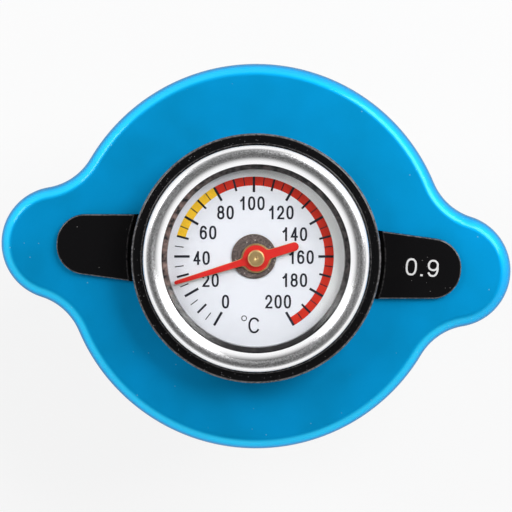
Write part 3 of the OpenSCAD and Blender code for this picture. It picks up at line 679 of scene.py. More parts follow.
def loft(name, rings, looped=True, round_trip=False):
    """A skin over rings of equally many points. A looped ring is closed. The last ring joins the first on a
    round trip, and otherwise the end rings are capped."""
    size = len(rings[0])
    faces = []
    for i in range(len(rings) if round_trip else len(rings) - 1):
        a, b = i * size, (i + 1) % len(rings) * size
        for k in range(size if looped else size - 1):
            n = (k + 1) % size
            faces.append((a + k, a + n, b + n, b + k))
    if not round_trip:
        faces += [tuple(range(size)), tuple(range((len(rings) - 1) * size, len(rings) * size))]
    return solid(name, [point for ring in rings for point in ring], faces)


def even(first, last, steps):
    """Evenly spaced values from the first to the last, with both of them."""
    return [first + (last - first) * k / steps for k in range(steps + 1)]


def full_turn(steps):
    """Angles of a whole turn, without the last, which is the first again."""
    return even(0, 2 * math.pi, steps)[:-1]


def arc(centre, radius, first, last, steps):
    """Points along part of a circle."""
    return [
        Vector((centre[0] + radius * math.cos(a), centre[1] + radius * math.sin(a)))
        for a in even(first, last, steps)
    ]


def rounded(corners, closed=True, steps=5):
    """A path through corners (x, y, radius), each turned into an arc of its radius, if it has one."""
    path = []
    for i, (x, y, *radius) in enumerate(corners):
        here = Vector((x, y))
        at_end = not closed and i in (0, len(corners) - 1)
        if at_end or not radius or radius[0] <= 0:
            path.append(here)
            continue
        before = (Vector(corners[i - 1][:2]) - here).normalized()
        after = (Vector(corners[(i + 1) % len(corners)][:2]) - here).normalized()
        half = before.angle(after) / 2
        centre = here + (before + after).normalized() * radius[0] / math.sin(half)
        start = here + before * radius[0] / math.tan(half) - centre
        end = here + after * radius[0] / math.tan(half) - centre
        first = math.atan2(start.y, start.x)
        sweep = (math.atan2(end.y, end.x) - first + math.pi) % (2 * math.pi) - math.pi
        path += arc(centre, radius[0], first, first + sweep, steps)
    return path


def sweep(name, profile, angles, at=(0.0, 0.0), looped=True, round_trip=False):
    """A profile of radii and heights, carried through angles about an upright axis."""
    rings = [
        [(at[0] + p.x * math.cos(a), at[1] + p.x * math.sin(a), p.y) for p in profile] for a in angles
    ]
    return loft(name, rings, looped, round_trip)


def lathe(name, corners, at=(0.0, 0.0), steps=5):
    """A turned solid, in more columns the wider it is. A profile that starts on the axis is open there, and
    any other one is closed."""
    widest = max(corner[0] for corner in corners)
    columns = 48 if widest < 4 * MM else 96 if widest < 10 * MM else 180
    closed = corners[0][0] > 0
    return sweep(name, rounded(corners, closed, steps), full_turn(columns), at, closed, True)


def ring_corners(wide, bore, low, high, *edge):
    """Corners of a plain ring's profile, with the rounding of its edges, if it has one."""
    return [(bore, low, *edge), (wide, low, *edge), (wide, high, *edge), (bore, high, *edge)]


def tube(name, wide, bore, low, high, edge=0.0, at=(0.0, 0.0)):
    """A plain ring with rounded edges."""
    return lathe(name, ring_corners(wide, bore, low, high, edge), at)


def prism(name, outline, low, high):
    """An outline carried from one height to another."""
    return loft(name, [[(p.x, p.y, z) for p in outline] for z in (low, high)])


def rod(name, radius, low, high, at=(0.0, 0.0), steps=32):
    """A plain upright cylinder."""
    return prism(name, arc(at, radius, 0, 2 * math.pi, steps)[:-1], low, high)


def settle(piece):
    """Makes what the piece's modifiers give its plain mesh."""
    graph = bpy.context.evaluated_depsgraph_get()
    made = bpy.data.meshes.new_from_object(piece.evaluated_get(graph))
    piece.modifiers.clear()
    piece.data = made


def cut(piece, cutters, operation="DIFFERENCE"):
    """Takes the cutters out of a piece, or adds them to it, and removes them."""
    for cutter in cutters:
        hole = piece.modifiers.new("Hole", "BOOLEAN")
        hole.operation = operation
        hole.solver = "EXACT"
        hole.object = cutter
    settle(piece)
    for cutter in cutters:
        bpy.data.objects.remove(cutter)


def soften(piece, width, segments):
    """Rounds the piece's sharp edges."""
    edge = piece.modifiers.new("Edges", "BEVEL")
    edge.width = width
    edge.segments = segments
    edge.limit_method = "ANGLE"
    edge.angle_limit = ROUND_ABOVE
    settle(piece)


def dress(piece, node, finish=None, stands_for=True):
    """Shades and paints a finished mesh, and lets it ride with a solid, which it stands for by default."""
    piece.data.materials.clear()
    piece.data.materials.append(finish_of(finish or SLOT[node]))
    piece.data.shade_smooth()
    piece.data.set_sharp_from_angle(angle=SMOOTH_BELOW)
    even = piece.modifiers.new("Even normals", "WEIGHTED_NORMAL")
    even.keep_sharp = True
    settle(piece)
    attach(piece, BODY[node])
    if stands_for:
        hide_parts(node)
    return piece


# Lettering

def bow(x, y, wide, high, first, last, power, steps=32):
    """Part of a rounded loop in a letter's unit box, between two angles in degrees."""
    path = []
    for degrees in even(first, last, steps):
        c, s = math.cos(math.radians(degrees)), math.sin(math.radians(degrees))
        across = math.copysign(abs(c) ** (2 / power), c)
        along = math.copysign(abs(s) ** (2 / power), s)
        path.append((x + wide * across, y + high * along))
    return path


# Centre lines of each letter in a box from 0 to 1. A line that ends where it starts is a closed loop.
LETTERS = {
    "0": (bow(0.5, 0.5, 0.5, 0.5, 0, 360, 2.5, 48),),
    "1": (((0.74, 0.0), (0.74, 1.0)), ((0.72, 0.93), (0.5, 0.79), (0.26, 0.71))),
    "2": (bow(0.48, 0.7, 0.47, 0.3, 170, -28, 2.1) + [(0.62, 0.36), (0.16, 0.12), (0.02, 0.0), (1.0, 0.0)],),
    "4": (((0.7, 0.94), (0.02, 0.28), (1.0, 0.28)), ((0.74, 0.0), (0.74, 1.0))),
    "6": (bow(0.5, 0.31, 0.49, 0.31, 0, 360, 2.2, 48), bow(0.52, 0.5, 0.52, 0.5, 182, 40, 2.3)),
    "8": (bow(0.5, 0.76, 0.43, 0.24, 0, 360, 2.2, 40), bow(0.5, 0.27, 0.5, 0.27, 0, 360, 2.2, 48)),
    "9": (bow(0.5, 0.69, 0.49, 0.31, 0, 360, 2.2, 48), bow(0.48, 0.5, 0.52, 0.5, 2, -140, 2.3)),
    ".": (((0.06, 0.0), (0.12, 0.0)),),
    "C": (bow(0.5, 0.5, 0.5, 0.5, 40, 320, 2.1, 48),),
}


def stroke(path, width, low, high):
    """A flat line of a given width along a path, from one height to another, with square ends."""
    closed = (path[0] - path[-1]).length < 10 * SAME
    path = path[:-1] if closed else path
    rings = []
    for i, here in enumerate(path):
        before = path[i - 1] if closed or i else None
        after = path[(i + 1) % len(path)] if closed or i < len(path) - 1 else None
        way_in = (here - before).normalized() if before else (after - here).normalized()
        way_out = (after - here).normalized() if after else way_in
        ahead = (way_in + way_out).normalized()
        if not before:
            here = here - ahead * width / 2
        if not after:
            here = here + ahead * width / 2
        # A sharp bend's outer corner is cut short.
        reach = min(1.0 / max(ahead.dot(way_in), 0.1), 1.6) * width / 2
        side = Vector((-ahead.y, ahead.x)) * reach
        left, right = here + side, here - side
        rings.append([(*left, low), (*right, low), (*right, high), (*left, high)])
    return loft("stroke", rings, True, closed)


def lettering(name, text, size, step, line, middle, turn, low, thickness):
    """Text of one width and height for each letter, drawn in strokes round a middle and turned about Z."""
    wide, high = size[0] - line, size[1] - line
    paths = []
    pen = line / 2
    for letter in text:
        for path in LETTERS[letter]:
            paths.append([Vector((pen + u * wide, line / 2 + v * high)) for u, v in path])
        pen += step / 2 if letter == "." else step
    ends = [p.x for path in paths for p in path]
    centre = Vector(((min(ends) + max(ends)) / 2, size[1] / 2))
    spin = Matrix.Rotation(turn, 2)
    parts = []
    for path in paths:
        moved = [spin @ (p - centre) + middle for p in path]
        parts.append(stroke(moved, line, low, low + thickness))
    piece = parts[0]
    piece.name = name
    if len(parts) > 1:
        cut(piece, parts[1:], "UNION")
    return piece


# Geometry node trees

def open_tree(name, inputs):
    """A new geometry tree with named inputs. Gives the tree, its inputs by name, and its output."""
    tree = bpy.data.node_groups.new(name, "GeometryNodeTree")
    for label, kind in inputs:
        tree.interface.new_socket(label, in_out="INPUT", socket_type=kind)
    tree.interface.new_socket("Geometry", in_out="OUTPUT", socket_type="NodeSocketGeometry")
    given = tree.nodes.new("NodeGroupInput").outputs
    result = tree.nodes.new("NodeGroupOutput").inputs[0]
    return tree, {label: given[label] for label, kind in inputs}, result


def close_tree(tree, geometry, material, result):
    """Makes instances real, gives them a material and hands them to the tree's output."""
    real = add(tree, "GeometryNodeRealizeInstances", (geometry,))
    painted = add(tree, "GeometryNodeSetMaterial", {"Geometry": real.outputs[0], "Material": material})
    tree.links.new(painted.outputs[0], result)
    return tree


FLOAT = "NodeSocketFloat"
WHOLE = "NodeSocketInt"
STUFF = "NodeSocketMaterial"


def marks_tree():
    """Straight marks of one kind, spaced evenly round a scale, clockwise from the first."""
    names = ("First Angle", "Angle Step", "Inner Radius", "Outer Radius", "Width", "Height", "Thickness")
    names += ("Centre X", "Centre Y")
    inputs = [("Count", WHOLE), *((name, FLOAT) for name in names), ("Material", STUFF)]
    tree, given, result = open_tree("Scale Marks", inputs)
    line = add(tree, "GeometryNodeMeshLine", {"Count": given["Count"], "Offset": (0.0, 0.0, 0.0)})
    index = add(tree, "GeometryNodeInputIndex").outputs[0]
    passed = maths(tree, "MULTIPLY", index, given["Angle Step"])
    turn = maths(tree, "SUBTRACT", given["First Angle"], passed)
    both = maths(tree, "ADD", given["Inner Radius"], given["Outer Radius"])
    middle = maths(tree, "MULTIPLY", both, 0.5)
    long = maths(tree, "SUBTRACT", given["Outer Radius"], given["Inner Radius"])
    x = maths(tree, "MULTIPLY_ADD", middle, maths(tree, "COSINE", turn), given["Centre X"])
    y = maths(tree, "MULTIPLY_ADD", middle, maths(tree, "SINE", turn), given["Centre Y"])
    place = add(tree, "ShaderNodeCombineXYZ", (x, y, given["Height"]))
    spots = add(tree, "GeometryNodeSetPosition", {"Geometry": line.outputs[0], "Position": place.outputs[0]})
    size = add(tree, "ShaderNodeCombineXYZ", (long, given["Width"], given["Thickness"]))
    bar = add(tree, "GeometryNodeMeshCube", {"Size": size.outputs[0]})
    facing = add(tree, "ShaderNodeCombineXYZ", (0.0, 0.0, turn))
    inputs = {"Points": spots.outputs[0], "Instance": bar.outputs[0], "Rotation": facing.outputs[0]}
    bars = add(tree, "GeometryNodeInstanceOnPoints", inputs)
    return close_tree(tree, bars.outputs[0], given["Material"], result)


def winding_tree():
    """A wire wound upwards round an upright axis, with closer first and last turns."""
    names = ("Turns", "Mean Radius", "Wire Radius", "Foot", "Rise", "End Pitch", "Centre X")
    inputs = [*((name, FLOAT) for name in names), ("Steps", WHOLE), ("Sides", WHOLE), ("Material", STUFF)]
    tree, given, result = open_tree("Wound Wire", inputs)
    line = add(tree, "GeometryNodeCurvePrimitiveLine")
    line = add(tree, "GeometryNodeResampleCurve", {"Curve": line.outputs[0], "Count": given["Steps"]})
    along = add(tree, "GeometryNodeSplineParameter").outputs["Factor"]
    turn = maths(tree, "MULTIPLY", along, given["Turns"])
    inner_turns = maths(tree, "SUBTRACT", given["Turns"], 2.0)
    inner_rise = maths(tree, "SUBTRACT", given["Rise"], maths(tree, "MULTIPLY", given["End Pitch"], 2.0))
    pitch = maths(tree, "DIVIDE", inner_rise, inner_turns)
    first = maths(tree, "MULTIPLY", maths(tree, "MINIMUM", turn, 1.0), given["End Pitch"])
    begun = maths(tree, "MAXIMUM", maths(tree, "SUBTRACT", turn, 1.0), 0.0)
    middle = maths(tree, "MULTIPLY", maths(tree, "MINIMUM", begun, inner_turns), pitch)
    late = maths(tree, "MAXIMUM", maths(tree, "SUBTRACT", begun, inner_turns), 0.0)
    last = maths(tree, "MULTIPLY", late, given["End Pitch"])
    height = maths(tree, "ADD", maths(tree, "ADD", first, middle), maths(tree, "ADD", last, given["Foot"]))
    way = maths(tree, "MULTIPLY", turn, 2 * math.pi)
    x = maths(tree, "MULTIPLY", maths(tree, "COSINE", way), given["Mean Radius"])
    y = maths(tree, "MULTIPLY", maths(tree, "SINE", way), given["Mean Radius"])
    place = add(tree, "ShaderNodeCombineXYZ", (maths(tree, "ADD", x, given["Centre X"]), y, height))
    coil = add(tree, "GeometryNodeSetPosition", {"Geometry": line.outputs[0], "Position": place.outputs[0]})
    inputs = {"Resolution": given["Sides"], "Radius": given["Wire Radius"]}
    section = add(tree, "GeometryNodeCurvePrimitiveCircle", inputs)
    inputs = {"Curve": coil.outputs[0], "Profile Curve": section.outputs[0], "Fill Caps": True}
    wire = add(tree, "GeometryNodeCurveToMesh", inputs)
    return close_tree(tree, wire.outputs[0], given["Material"], result)


def grow(name, tree, values):
    """The plain mesh that a geometry tree gives for values, by the names of its inputs."""
    piece = new_object(name, bpy.data.meshes.new(name))
    grower = piece.modifiers.new("Grow", "NODES")
    grower.node_group = tree
    for item in tree.interface.items_tree:
        if item.in_out == "INPUT":
            grower[item.identifier] = values[item.name]
    settle(piece)
    build = bmesh.new()
    build.from_mesh(piece.data)
    bmesh.ops.recalc_face_normals(build, faces=build.faces)
    build.to_mesh(piece.data)
    build.free()
    return piece


def wound_wire(name, node, wire, turns, end_gap, sides):
    """A spring in the place of its solid, whose clearance at both ends it keeps."""
    low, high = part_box(node)
    values = {
        "Turns": turns,
        "Mean Radius": (high.y - low.y) / 2 - wire,
        "Wire Radius": wire,
        "Foot": low.z + wire,
        "Rise": high.z - low.z - 2 * wire,
        "End Pitch": 2 * wire + end_gap,
        "Centre X": (low.x + high.x) / 2,
        "Steps": 36 * turns + 1,
        "Sides": sides,
        "Material": finish_of(SLOT[node]),
    }
    tree = bpy.data.node_groups.get("Wound Wire") or winding_tree()
    return grow(name, tree, values)


# Head of the cap

def hollow_centre(s):
    """Centre of the hollow curve between plate and ear, and the direction in which it lies."""
    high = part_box("cover")[1]
    from_axis = high.y + s.hollow_radius
    from_ear = s.ear_radius + s.hollow_radius
    ear_x = high.x - s.ear_radius
    turn = math.acos((from_axis ** 2 + ear_x ** 2 - from_ear ** 2) / (2 * from_axis * ear_x))
    return from_axis * Vector((math.cos(turn), math.sin(turn))), turn


def lobed_outline(s, inset):
    """The cover's outline from above, moved inwards: a quarter of arcs, mirrored to all four sides."""
    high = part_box("cover")[1]
    centre, turn = hollow_centre(s)
    ear_x = high.x - s.ear_radius
    meets = math.atan2(centre.y, centre.x - ear_x)
    quarter = arc((ear_x, 0), s.ear_radius - inset, 0, meets, 24)
    quarter += arc(centre, s.hollow_radius + inset, meets - math.pi, turn - math.pi, 18)[1:]
    quarter += arc((0, 0), high.y - inset, turn, math.pi / 2, 36)[1:]
    half = quarter + [Vector((-p.x, p.y)) for p in reversed(quarter[:-1])]
    return half + [Vector((p.x, -p.y)) for p in reversed(half[1:-1])]


def pad_outline(s, side, margin=0.0):
    """Outline from above of the pad on the right side, 1, or the left, -1, grown all round by a margin."""
    radius = s.pad_corner + margin
    hollow = outer("collar") + s.pad_gap - margin
    slope = math.tan(s.pad_taper)
    corner_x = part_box("ear_pad_right")[1].x - s.pad_corner + side * s.pads_right
    outline, root_turns = [], []
    for half in (-1, 1):
        corner = Vector((corner_x, s.pad_tip_width / 2 - s.pad_corner + half * side * s.pads_up))
        flank = corner + radius * Vector((math.sin(s.pad_taper), math.cos(s.pad_taper)))
        base = flank.y + flank.x * slope
        root_x = (base * slope + math.sqrt(hollow ** 2 * (1 + slope ** 2) - base ** 2)) / (1 + slope ** 2)
        root_turns.append(half * math.atan2(base - slope * root_x, root_x))
        tip = [Vector((p.x, half * p.y)) for p in arc(corner, radius, 0, math.pi / 2 - s.pad_taper, 20)]
        outline += tip if half > 0 else reversed(tip)
    outline += arc((0, 0), hollow, root_turns[1], root_turns[0], 24)
    return [side * p for p in outline]


def build_cover(s, gauge, shell):
    """A lobed plate with a rounded upper edge, hollowed for shell, collar, pads and pins."""
    low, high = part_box("cover")
    rim = lobed_outline(s, 0.0)

    def circle(radius, z):
        return [(radius * p.x / p.length, radius * p.y / p.length, z) for p in rim]

    def lobed(inset, z):
        return [(p.x, p.y, z) for p in lobed_outline(s, inset)]

    hole = shell.thread + s.fit
    pocket = outer("shell") + s.fit
    recess = outer("collar") - gauge.collar_ledge + s.fit
    recess_floor = high.z - s.recess_depth
    ceiling = top("shell")
    edge = [
        lobed(s.edge_round * (1 - math.cos(a)), high.z - s.edge_drop * (1 - math.sin(a)))
        for a in even(0, math.pi / 2, 16)
    ]
    rings = [
        circle(hole, ceiling),
        circle(pocket, ceiling),
        circle(pocket, low.z),
        lobed(s.edge_chamfer, low.z),
        lobed(0.0, low.z + s.edge_chamfer),
        *edge,
        circle(recess, high.z),
        circle(recess, recess_floor),
        circle(hole, recess_floor),
    ]
    piece = loft("cover_plate", rings, True, True)
    pin_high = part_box("drive_pins")[1]
    pin_at = pin_high.y - s.pin_radius
    cutters = []
    for side in (1, -1):
        recess_outline = pad_outline(s, side, s.fit)
        cutters.append(prism("pad_recess", recess_outline, foot("ear_pad_right"), high.z + PAST))
    for side in (-1, 1):
        spot = (0, side * pin_at)
        cutters.append(rod("pin_hole", s.pin_radius + s.fit, ceiling - PAST, pin_high.z, spot))
    cut(piece, cutters)
    dress(piece, "cover")


def build_pads(s):
    """Pads let into the ears, which slope down to the collar at their inner ends."""
    low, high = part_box("ear_pad_right")
    hollow = outer("collar") + s.pad_gap
    over = 0.2 * s.pad_slope
    bottom, ceiling = high.z - s.pad_slope - over, high.z + over
    corners = [
        (hollow - s.pad_slope, bottom),
        (hollow - over, bottom),
        (hollow + s.pad_slope + over, ceiling),
        (hollow - s.pad_slope, ceiling),
    ]
    for name, node, side in (("pad_right", "ear_pad_right", 1), ("pad_left", "ear_pad_left", -1)):
        piece = prism(name, pad_outline(s, side), low.z, high.z)
        soften(piece, s.pad_bevel, 4)
        cut(piece, [lathe("inner_slope", corners)])
        dress(piece, node)
    size = (s.rating_width, s.rating_height)
    middle = Vector((s.rating_right, s.rating_up))
    rating = lettering(
        "pad_rating", "0.9", size, s.rating_step, s.rating_stroke, middle, 0.0, high.z, s.rating_ink
    )
    dress(rating, "ear_pad_right", "ink_white", False)


def build_collar(s, cover, shell):
    """A black ring on the cover, with a spigot below and a seat for the case inside."""
    low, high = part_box("collar")
    hole = shell.thread + cover.fit
    spigot = high.x - s.collar_ledge
    bore = high.x - s.collar_wall
    floor = foot("gauge_case")
    flange = outer("shank") + cover.fit
    corners = [
        (hole, low.z),
        (spigot, low.z, 0.2 * MM),
        (spigot, top("cover")),
        (high.x, top("cover")),
        (high.x, high.z, s.collar_round),
        (bore, high.z, s.collar_chamfer),
        (bore, floor),
        (flange, floor),
        (flange, floor - shell.flange),
        (hole, floor - shell.flange),
    ]
    dress(lathe("collar_ring", corners, steps=6), "collar")


def build_bezel(s):
    """A rolled ring over the lens, crimped under the case, with a ridge and a slope down to its lip."""
    low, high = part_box("bezel")
    shoulder = low.z + s.bezel_sheet
    bore = high.x - s.bezel_sheet
    glass_top = top("lens")
    wall_top = high.z - s.bezel_crown
    outer_width = high.x - s.bezel_ridge
    inner_width = s.bezel_ridge - s.bezel_lip
    drop = high.z - glass_top - s.bezel_edge
    crown = [
        (s.bezel_ridge + outer_width * math.cos(a), wall_top + s.bezel_crown * math.sin(a))
        for a in even(0, math.pi / 2, 20)
    ]
    # The inner slope gets steeper with its distance from the ridge, near which its points are closest.
    for share in [k ** 1.5 for k in even(0, 1, 20)][1:]:
        crown.append((s.bezel_ridge - inner_width * share, high.z - drop * share ** 1.75))
    corners = [
        (s.bezel_lip, glass_top),
        (bore, glass_top),
        (bore, shoulder),
        (bore - s.bezel_crimp, shoulder),
        (bore - s.bezel_crimp, low.z, 0.2 * MM),
        (high.x, low.z, 0.3 * MM),
        *crown,
    ]
    dress(lathe("bezel_ring", corners), "bezel")


def build_case(s, cover, shell):
    """A cup of sheet steel whose shoulder carries the dial."""
    low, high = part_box("gauge_case")
    inner = high.x - s.case_shoulder
    dial_foot = foot("dial_plate")
    hole = shell.neck + cover.fit
    corners = [
        (hole, low.z),
        (inner, low.z, 0.5 * MM),
        (inner, dial_foot - s.case_sheet),
        (high.x, dial_foot - s.case_sheet, 0.2 * MM),
        (high.x, high.z),
        (high.x - s.case_sheet, high.z),
        (high.x - s.case_sheet, dial_foot),
        (inner - s.case_sheet, dial_foot),
        (inner - s.case_sheet, low.z + s.case_sheet),
        (hole, low.z + s.case_sheet),
    ]
    dress(lathe("case_cup", corners), "gauge_case")


def build_window(s):
    """The lens and the gasket that it lies on."""
    edge = 0.15 * MM
    low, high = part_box("lens")
    corners = [(0, low.z), (high.x, low.z, edge), (high.x, high.z, edge), (0, high.z)]
    dress(lathe("lens_disc", corners), "lens")

    low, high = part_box("lens_gasket")
    corners = [
        (s.window, low.z),
        (high.x, low.z),
        (high.x, high.z),
        (s.window + s.gasket_slope, high.z, edge),
        (s.window, high.z - s.gasket_slope / 2, edge),
    ]
    dress(lathe("lens_seat", corners), "lens_gasket", "gasket_black")


# Dial and pointer

# Middles of the dial's print, to the right of its centre and above it, in millimetres
NUMBERS = (
    ("0", -4.63, -7.36),
    ("20", -7.06, -3.86),
    ("40", -8.53, -0.25),
    ("60", -7.46, 3.89),
    ("80", -4.63, 7.15),
    ("100", -0.26, 8.65),
    ("120", 4.45, 7.15),
    ("140", 6.65, 3.63),
    ("160", 7.73, -0.11),
    ("180", 6.65, -3.86),
    ("200", 3.94, -7.36),
)
UNIT_LETTER = (-0.05, -11.22)
UNIT_DEGREE = (-1.6, -10.07)


def build_dial(s, cover):
    """A white plate with its printed scale, and the bush in its hole."""
    low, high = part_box("dial_plate")

    def dial_angle(division):
        return s.turn + s.zero - s.span * division / s.divisions

    def on_dial(x, y):
        return Matrix.Rotation(s.turn, 2) @ Vector((x, y))

    middle = on_dial(s.shift_right, s.shift_up)
    corners = [(0, low.z), (high.x, low.z), (high.x, high.z, 0.1 * MM), (0, high.z)]
    face = lathe("dial_face", corners)
    hole = outer("dial_bush") + cover.fit
    cut(face, [rod("bush_hole", hole, low.z - PAST, high.z + PAST, middle, 96)])
    dress(face, "dial_plate")

    corners = ring_corners(s.scale_radius, s.band_radius, high.z, high.z + s.ink)
    profile = [Vector(corner) for corner in corners]
    for name, ink, first, last in (
        ("band_yellow", "ink_yellow", s.yellow_from, s.red_from),
        ("band_red", "ink_red", s.red_from, s.divisions),
    ):
        turns = [dial_angle(division) for division in even(first, last, 6 * (last - first))]
        dress(sweep(name, profile, turns, middle), "dial_plate", ink, False)

    tree = marks_tree()
    for name, first, every, inner, width in (
        ("marks_long", 0, 4, s.long_mark, s.long_width),
        ("marks_middle", 2, 4, s.middle_mark, s.middle_width),
        ("marks_short", 1, 2, s.band_radius, s.short_width),
    ):
        values = {
            "Count": (s.divisions - first) // every + 1,
            "First Angle": dial_angle(first),
            "Angle Step": s.span * every / s.divisions,
            "Inner Radius": inner,
            "Outer Radius": s.scale_radius,
            "Width": width,
            "Height": high.z + s.ink,
            "Thickness": 2 * s.ink,
            "Centre X": middle.x,
            "Centre Y": middle.y,
            "Material": finish_of("ink_black"),
        }
        dress(grow(name, tree, values), "dial_plate", "ink_black", False)

    def print_text(name, text, size, line, x, y):
        spot = on_dial(x * MM, y * MM) + middle
        piece = lettering(name, text, size, s.digit_step, line, spot, s.turn, high.z, 2 * s.ink)
        dress(piece, "dial_plate", "ink_black", False)

    for text, x, y in NUMBERS:
        print_text("number_" + text, text, (s.digit_width, s.digit_height), s.digit_stroke, x, y)
    print_text("unit_letter", "C", (s.unit_width, s.unit_height), s.unit_stroke, *UNIT_LETTER)
    at = on_dial(UNIT_DEGREE[0] * MM, UNIT_DEGREE[1] * MM) + middle
    bore = s.degree_radius - s.degree_stroke
    degree = tube("unit_degree", s.degree_radius, bore, high.z, high.z + 2 * s.ink, at=at)
    dress(degree, "dial_plate", "ink_black", False)

    low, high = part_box("dial_bush")
    corners = [(0, low.z), (high.x, low.z), (high.x, high.z, 0.1 * MM), (0, high.z)]
    disc = lathe("bush_disc", corners, middle)
    cut(disc, [rod("spindle_hole", outer("spindle") + cover.fit, low.z - PAST, high.z + PAST)])
    dress(disc, "dial_bush")


def pointer_outline(s, hub, margin=0.0):
    """Outline of the pointer along X: a tapered blade and a round-ended tail run softly into the hub."""
    softness = 7
    tip = s.pointer_tip / 2 + margin
    tail = s.tail_width / 2 + margin
    root = s.pointer_root / 2 + margin
    taper = (root - tip) / (s.pointer_length - tip)
    tail_end = s.tail_length - tail
    first = math.atan2(tip, s.pointer_length - tip)
    last = math.pi - math.atan2(tail, tail_end)
    upper = arc((s.pointer_length - tip, 0), tip, 0, math.pi / 2, 6)
    for a in even(first, last, 72)[1:-1]:
        blade = root / (math.sin(a) + taper * math.cos(a)) if a < math.pi / 2 else 0.0
        rear = tail / math.sin(a) if a > math.pi / 2 else 0.0
        reach = (hub ** softness + blade ** softness + rear ** softness) ** (1 / softness)
        upper.append(Vector((reach * math.cos(a), reach * math.sin(a))))
    upper += arc((-tail_end, 0), tail, math.pi / 2, math.pi, 10)
    return upper + [Vector((p.x, -p.y)) for p in reversed(upper[1:-1])]


def build_pointer(s, shell):
    """A brass blade whose upper face is painted, pressed on the spindle under a brass cap."""
    low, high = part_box("pointer")
    spin = Matrix.Rotation(s.turn + s.rest, 2)
    paint_foot = low.z + 0.4 * (high.z - low.z)
    edge = 0.05 * MM
    for name, hub, margin, bottom, face, finish in (
        ("pointer_plate", s.hub_plate, edge, low.z, paint_foot, "brass"),
        ("pointer_paint", s.hub, 0.0, paint_foot, high.z, None),
    ):
        piece = prism(name, [spin @ p for p in pointer_outline(s, hub, margin)], bottom, face)
        soften(piece, edge, 2)
        cut(piece, [rod("spindle_hole", shell.spindle_tip, low.z - PAST, high.z + PAST)])
        dress(piece, "pointer", finish, finish is None)

    low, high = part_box("pointer_boss")
    corners = [
        (shell.spindle_tip, low.z),
        (high.x, low.z),
        (high.x, high.z - 0.16 * MM, edge),
        (high.x - 0.2 * MM, high.z, 0.03 * MM),
        (shell.spindle_tip, high.z, 0.03 * MM),
    ]
    dress(lathe("pointer_cap", corners), "pointer_boss")


def build_spindle(shell):
    """A thin rod with a centred brass end."""
    low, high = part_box("spindle")
    step = foot("pointer")
    end_foot = high.z - 0.4 * MM
    edge = 0.05 * MM
    corners = [
        (0, low.z),
        (high.x, low.z, 0.1 * MM),
        (high.x, step, edge),
        (shell.spindle_tip, step),
        (shell.spindle_tip, end_foot),
        (0, end_foot),
    ]
    dress(lathe("spindle_rod", corners), "spindle")
    corners = [
        (0, end_foot),
        (shell.spindle_tip, end_foot),
        (shell.spindle_tip, high.z, edge),
        (0.3 * MM, high.z),
        (0.07 * MM, high.z - 0.12 * MM),
        (0, high.z - 0.2 * MM),
    ]
    dress(lathe("spindle_end", corners), "spindle", "brass", False)


# Shell, shank and probe

def build_shell(s, cover):
    """The shell, bent from one sheet: its outer face is laid out in columns, and then gets its thickness."""
    low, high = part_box("shell")
    rim = high.x
    columns = 360
    hole = s.thread + cover.fit
    crown = [Vector((x, high.z)) for x in even(hole, rim - s.top_round, 4)[:-1]]
    crown += arc((rim - s.top_round, high.z - s.top_round), s.top_round, math.pi / 2, 0, 6)
    skirt_end = -s.skirt
    bend_from = low.z + s.lug_bend
    skirt = crown + [Vector((rim, skirt_end))]
    segment = [Vector((rim, skirt_end)), Vector((rim, bend_from))]
    plain_end = [Vector((rim, bend_from)), Vector((rim, low.z))]
    lug = arc((rim - s.lug_bend, bend_from), s.lug_bend, 0, -math.pi / 2, 6)
    lug.append(Vector((s.lug_radius, low.z)))
    points, faces, index = [], [], {}

    def corner(spot, column):
        a = 2 * math.pi * (column % columns) / columns
        key = (round(spot.x, 7), round(spot.y, 7), column % columns)
        if key not in index:
            index[key] = len(points)
            points.append((spot.x * math.cos(a), spot.x * math.sin(a), spot.y))
        return index[key]

    for column in range(columns):
        middle = 2 * math.pi * (column + 0.5) / columns
        off_ear = abs((middle + math.pi / 2) % math.pi - math.pi / 2)
        strips = [skirt]
        if off_ear < s.segment_angle / 2:
            strips.append(segment)
            strips.append(lug if off_ear < s.lug_angle / 2 else plain_end)
        for strip in strips:
            for upper, lower in zip(strip, strip[1:]):
                spots = ((upper, column), (lower, column), (lower, column + 1), (upper, column + 1))
                faces.append([corner(*spot) for spot in spots])
    piece = solid("shell_sheet", points, faces)
    wall = piece.modifiers.new("Sheet", "SOLIDIFY")
    wall.thickness = s.sheet
    wall.offset = -1.0
    wall.use_even_offset = True
    settle(piece)
    pin_low, pin_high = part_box("drive_pins")
    places = [(0, side * (pin_high.y - cover.pin_radius)) for side in (-1, 1)]
    floor, ceiling = high.z - s.sheet - PAST, high.z + PAST
    cut(piece, [rod("pin_hole", cover.pin_radius + cover.fit, floor, ceiling, at) for at in places])
    soften(piece, 0.14 * MM, 2)
    dress(piece, "shell")

    corners = [
        (0, pin_low.z),
        (cover.pin_radius, pin_low.z, 0.3 * MM),
        (cover.pin_radius, pin_high.z, 0.2 * MM),
        (0, pin_high.z),
    ]
    dress(joined("drive_pin_pair", [lathe("drive_pin", corners, at) for at in places]), "drive_pins")


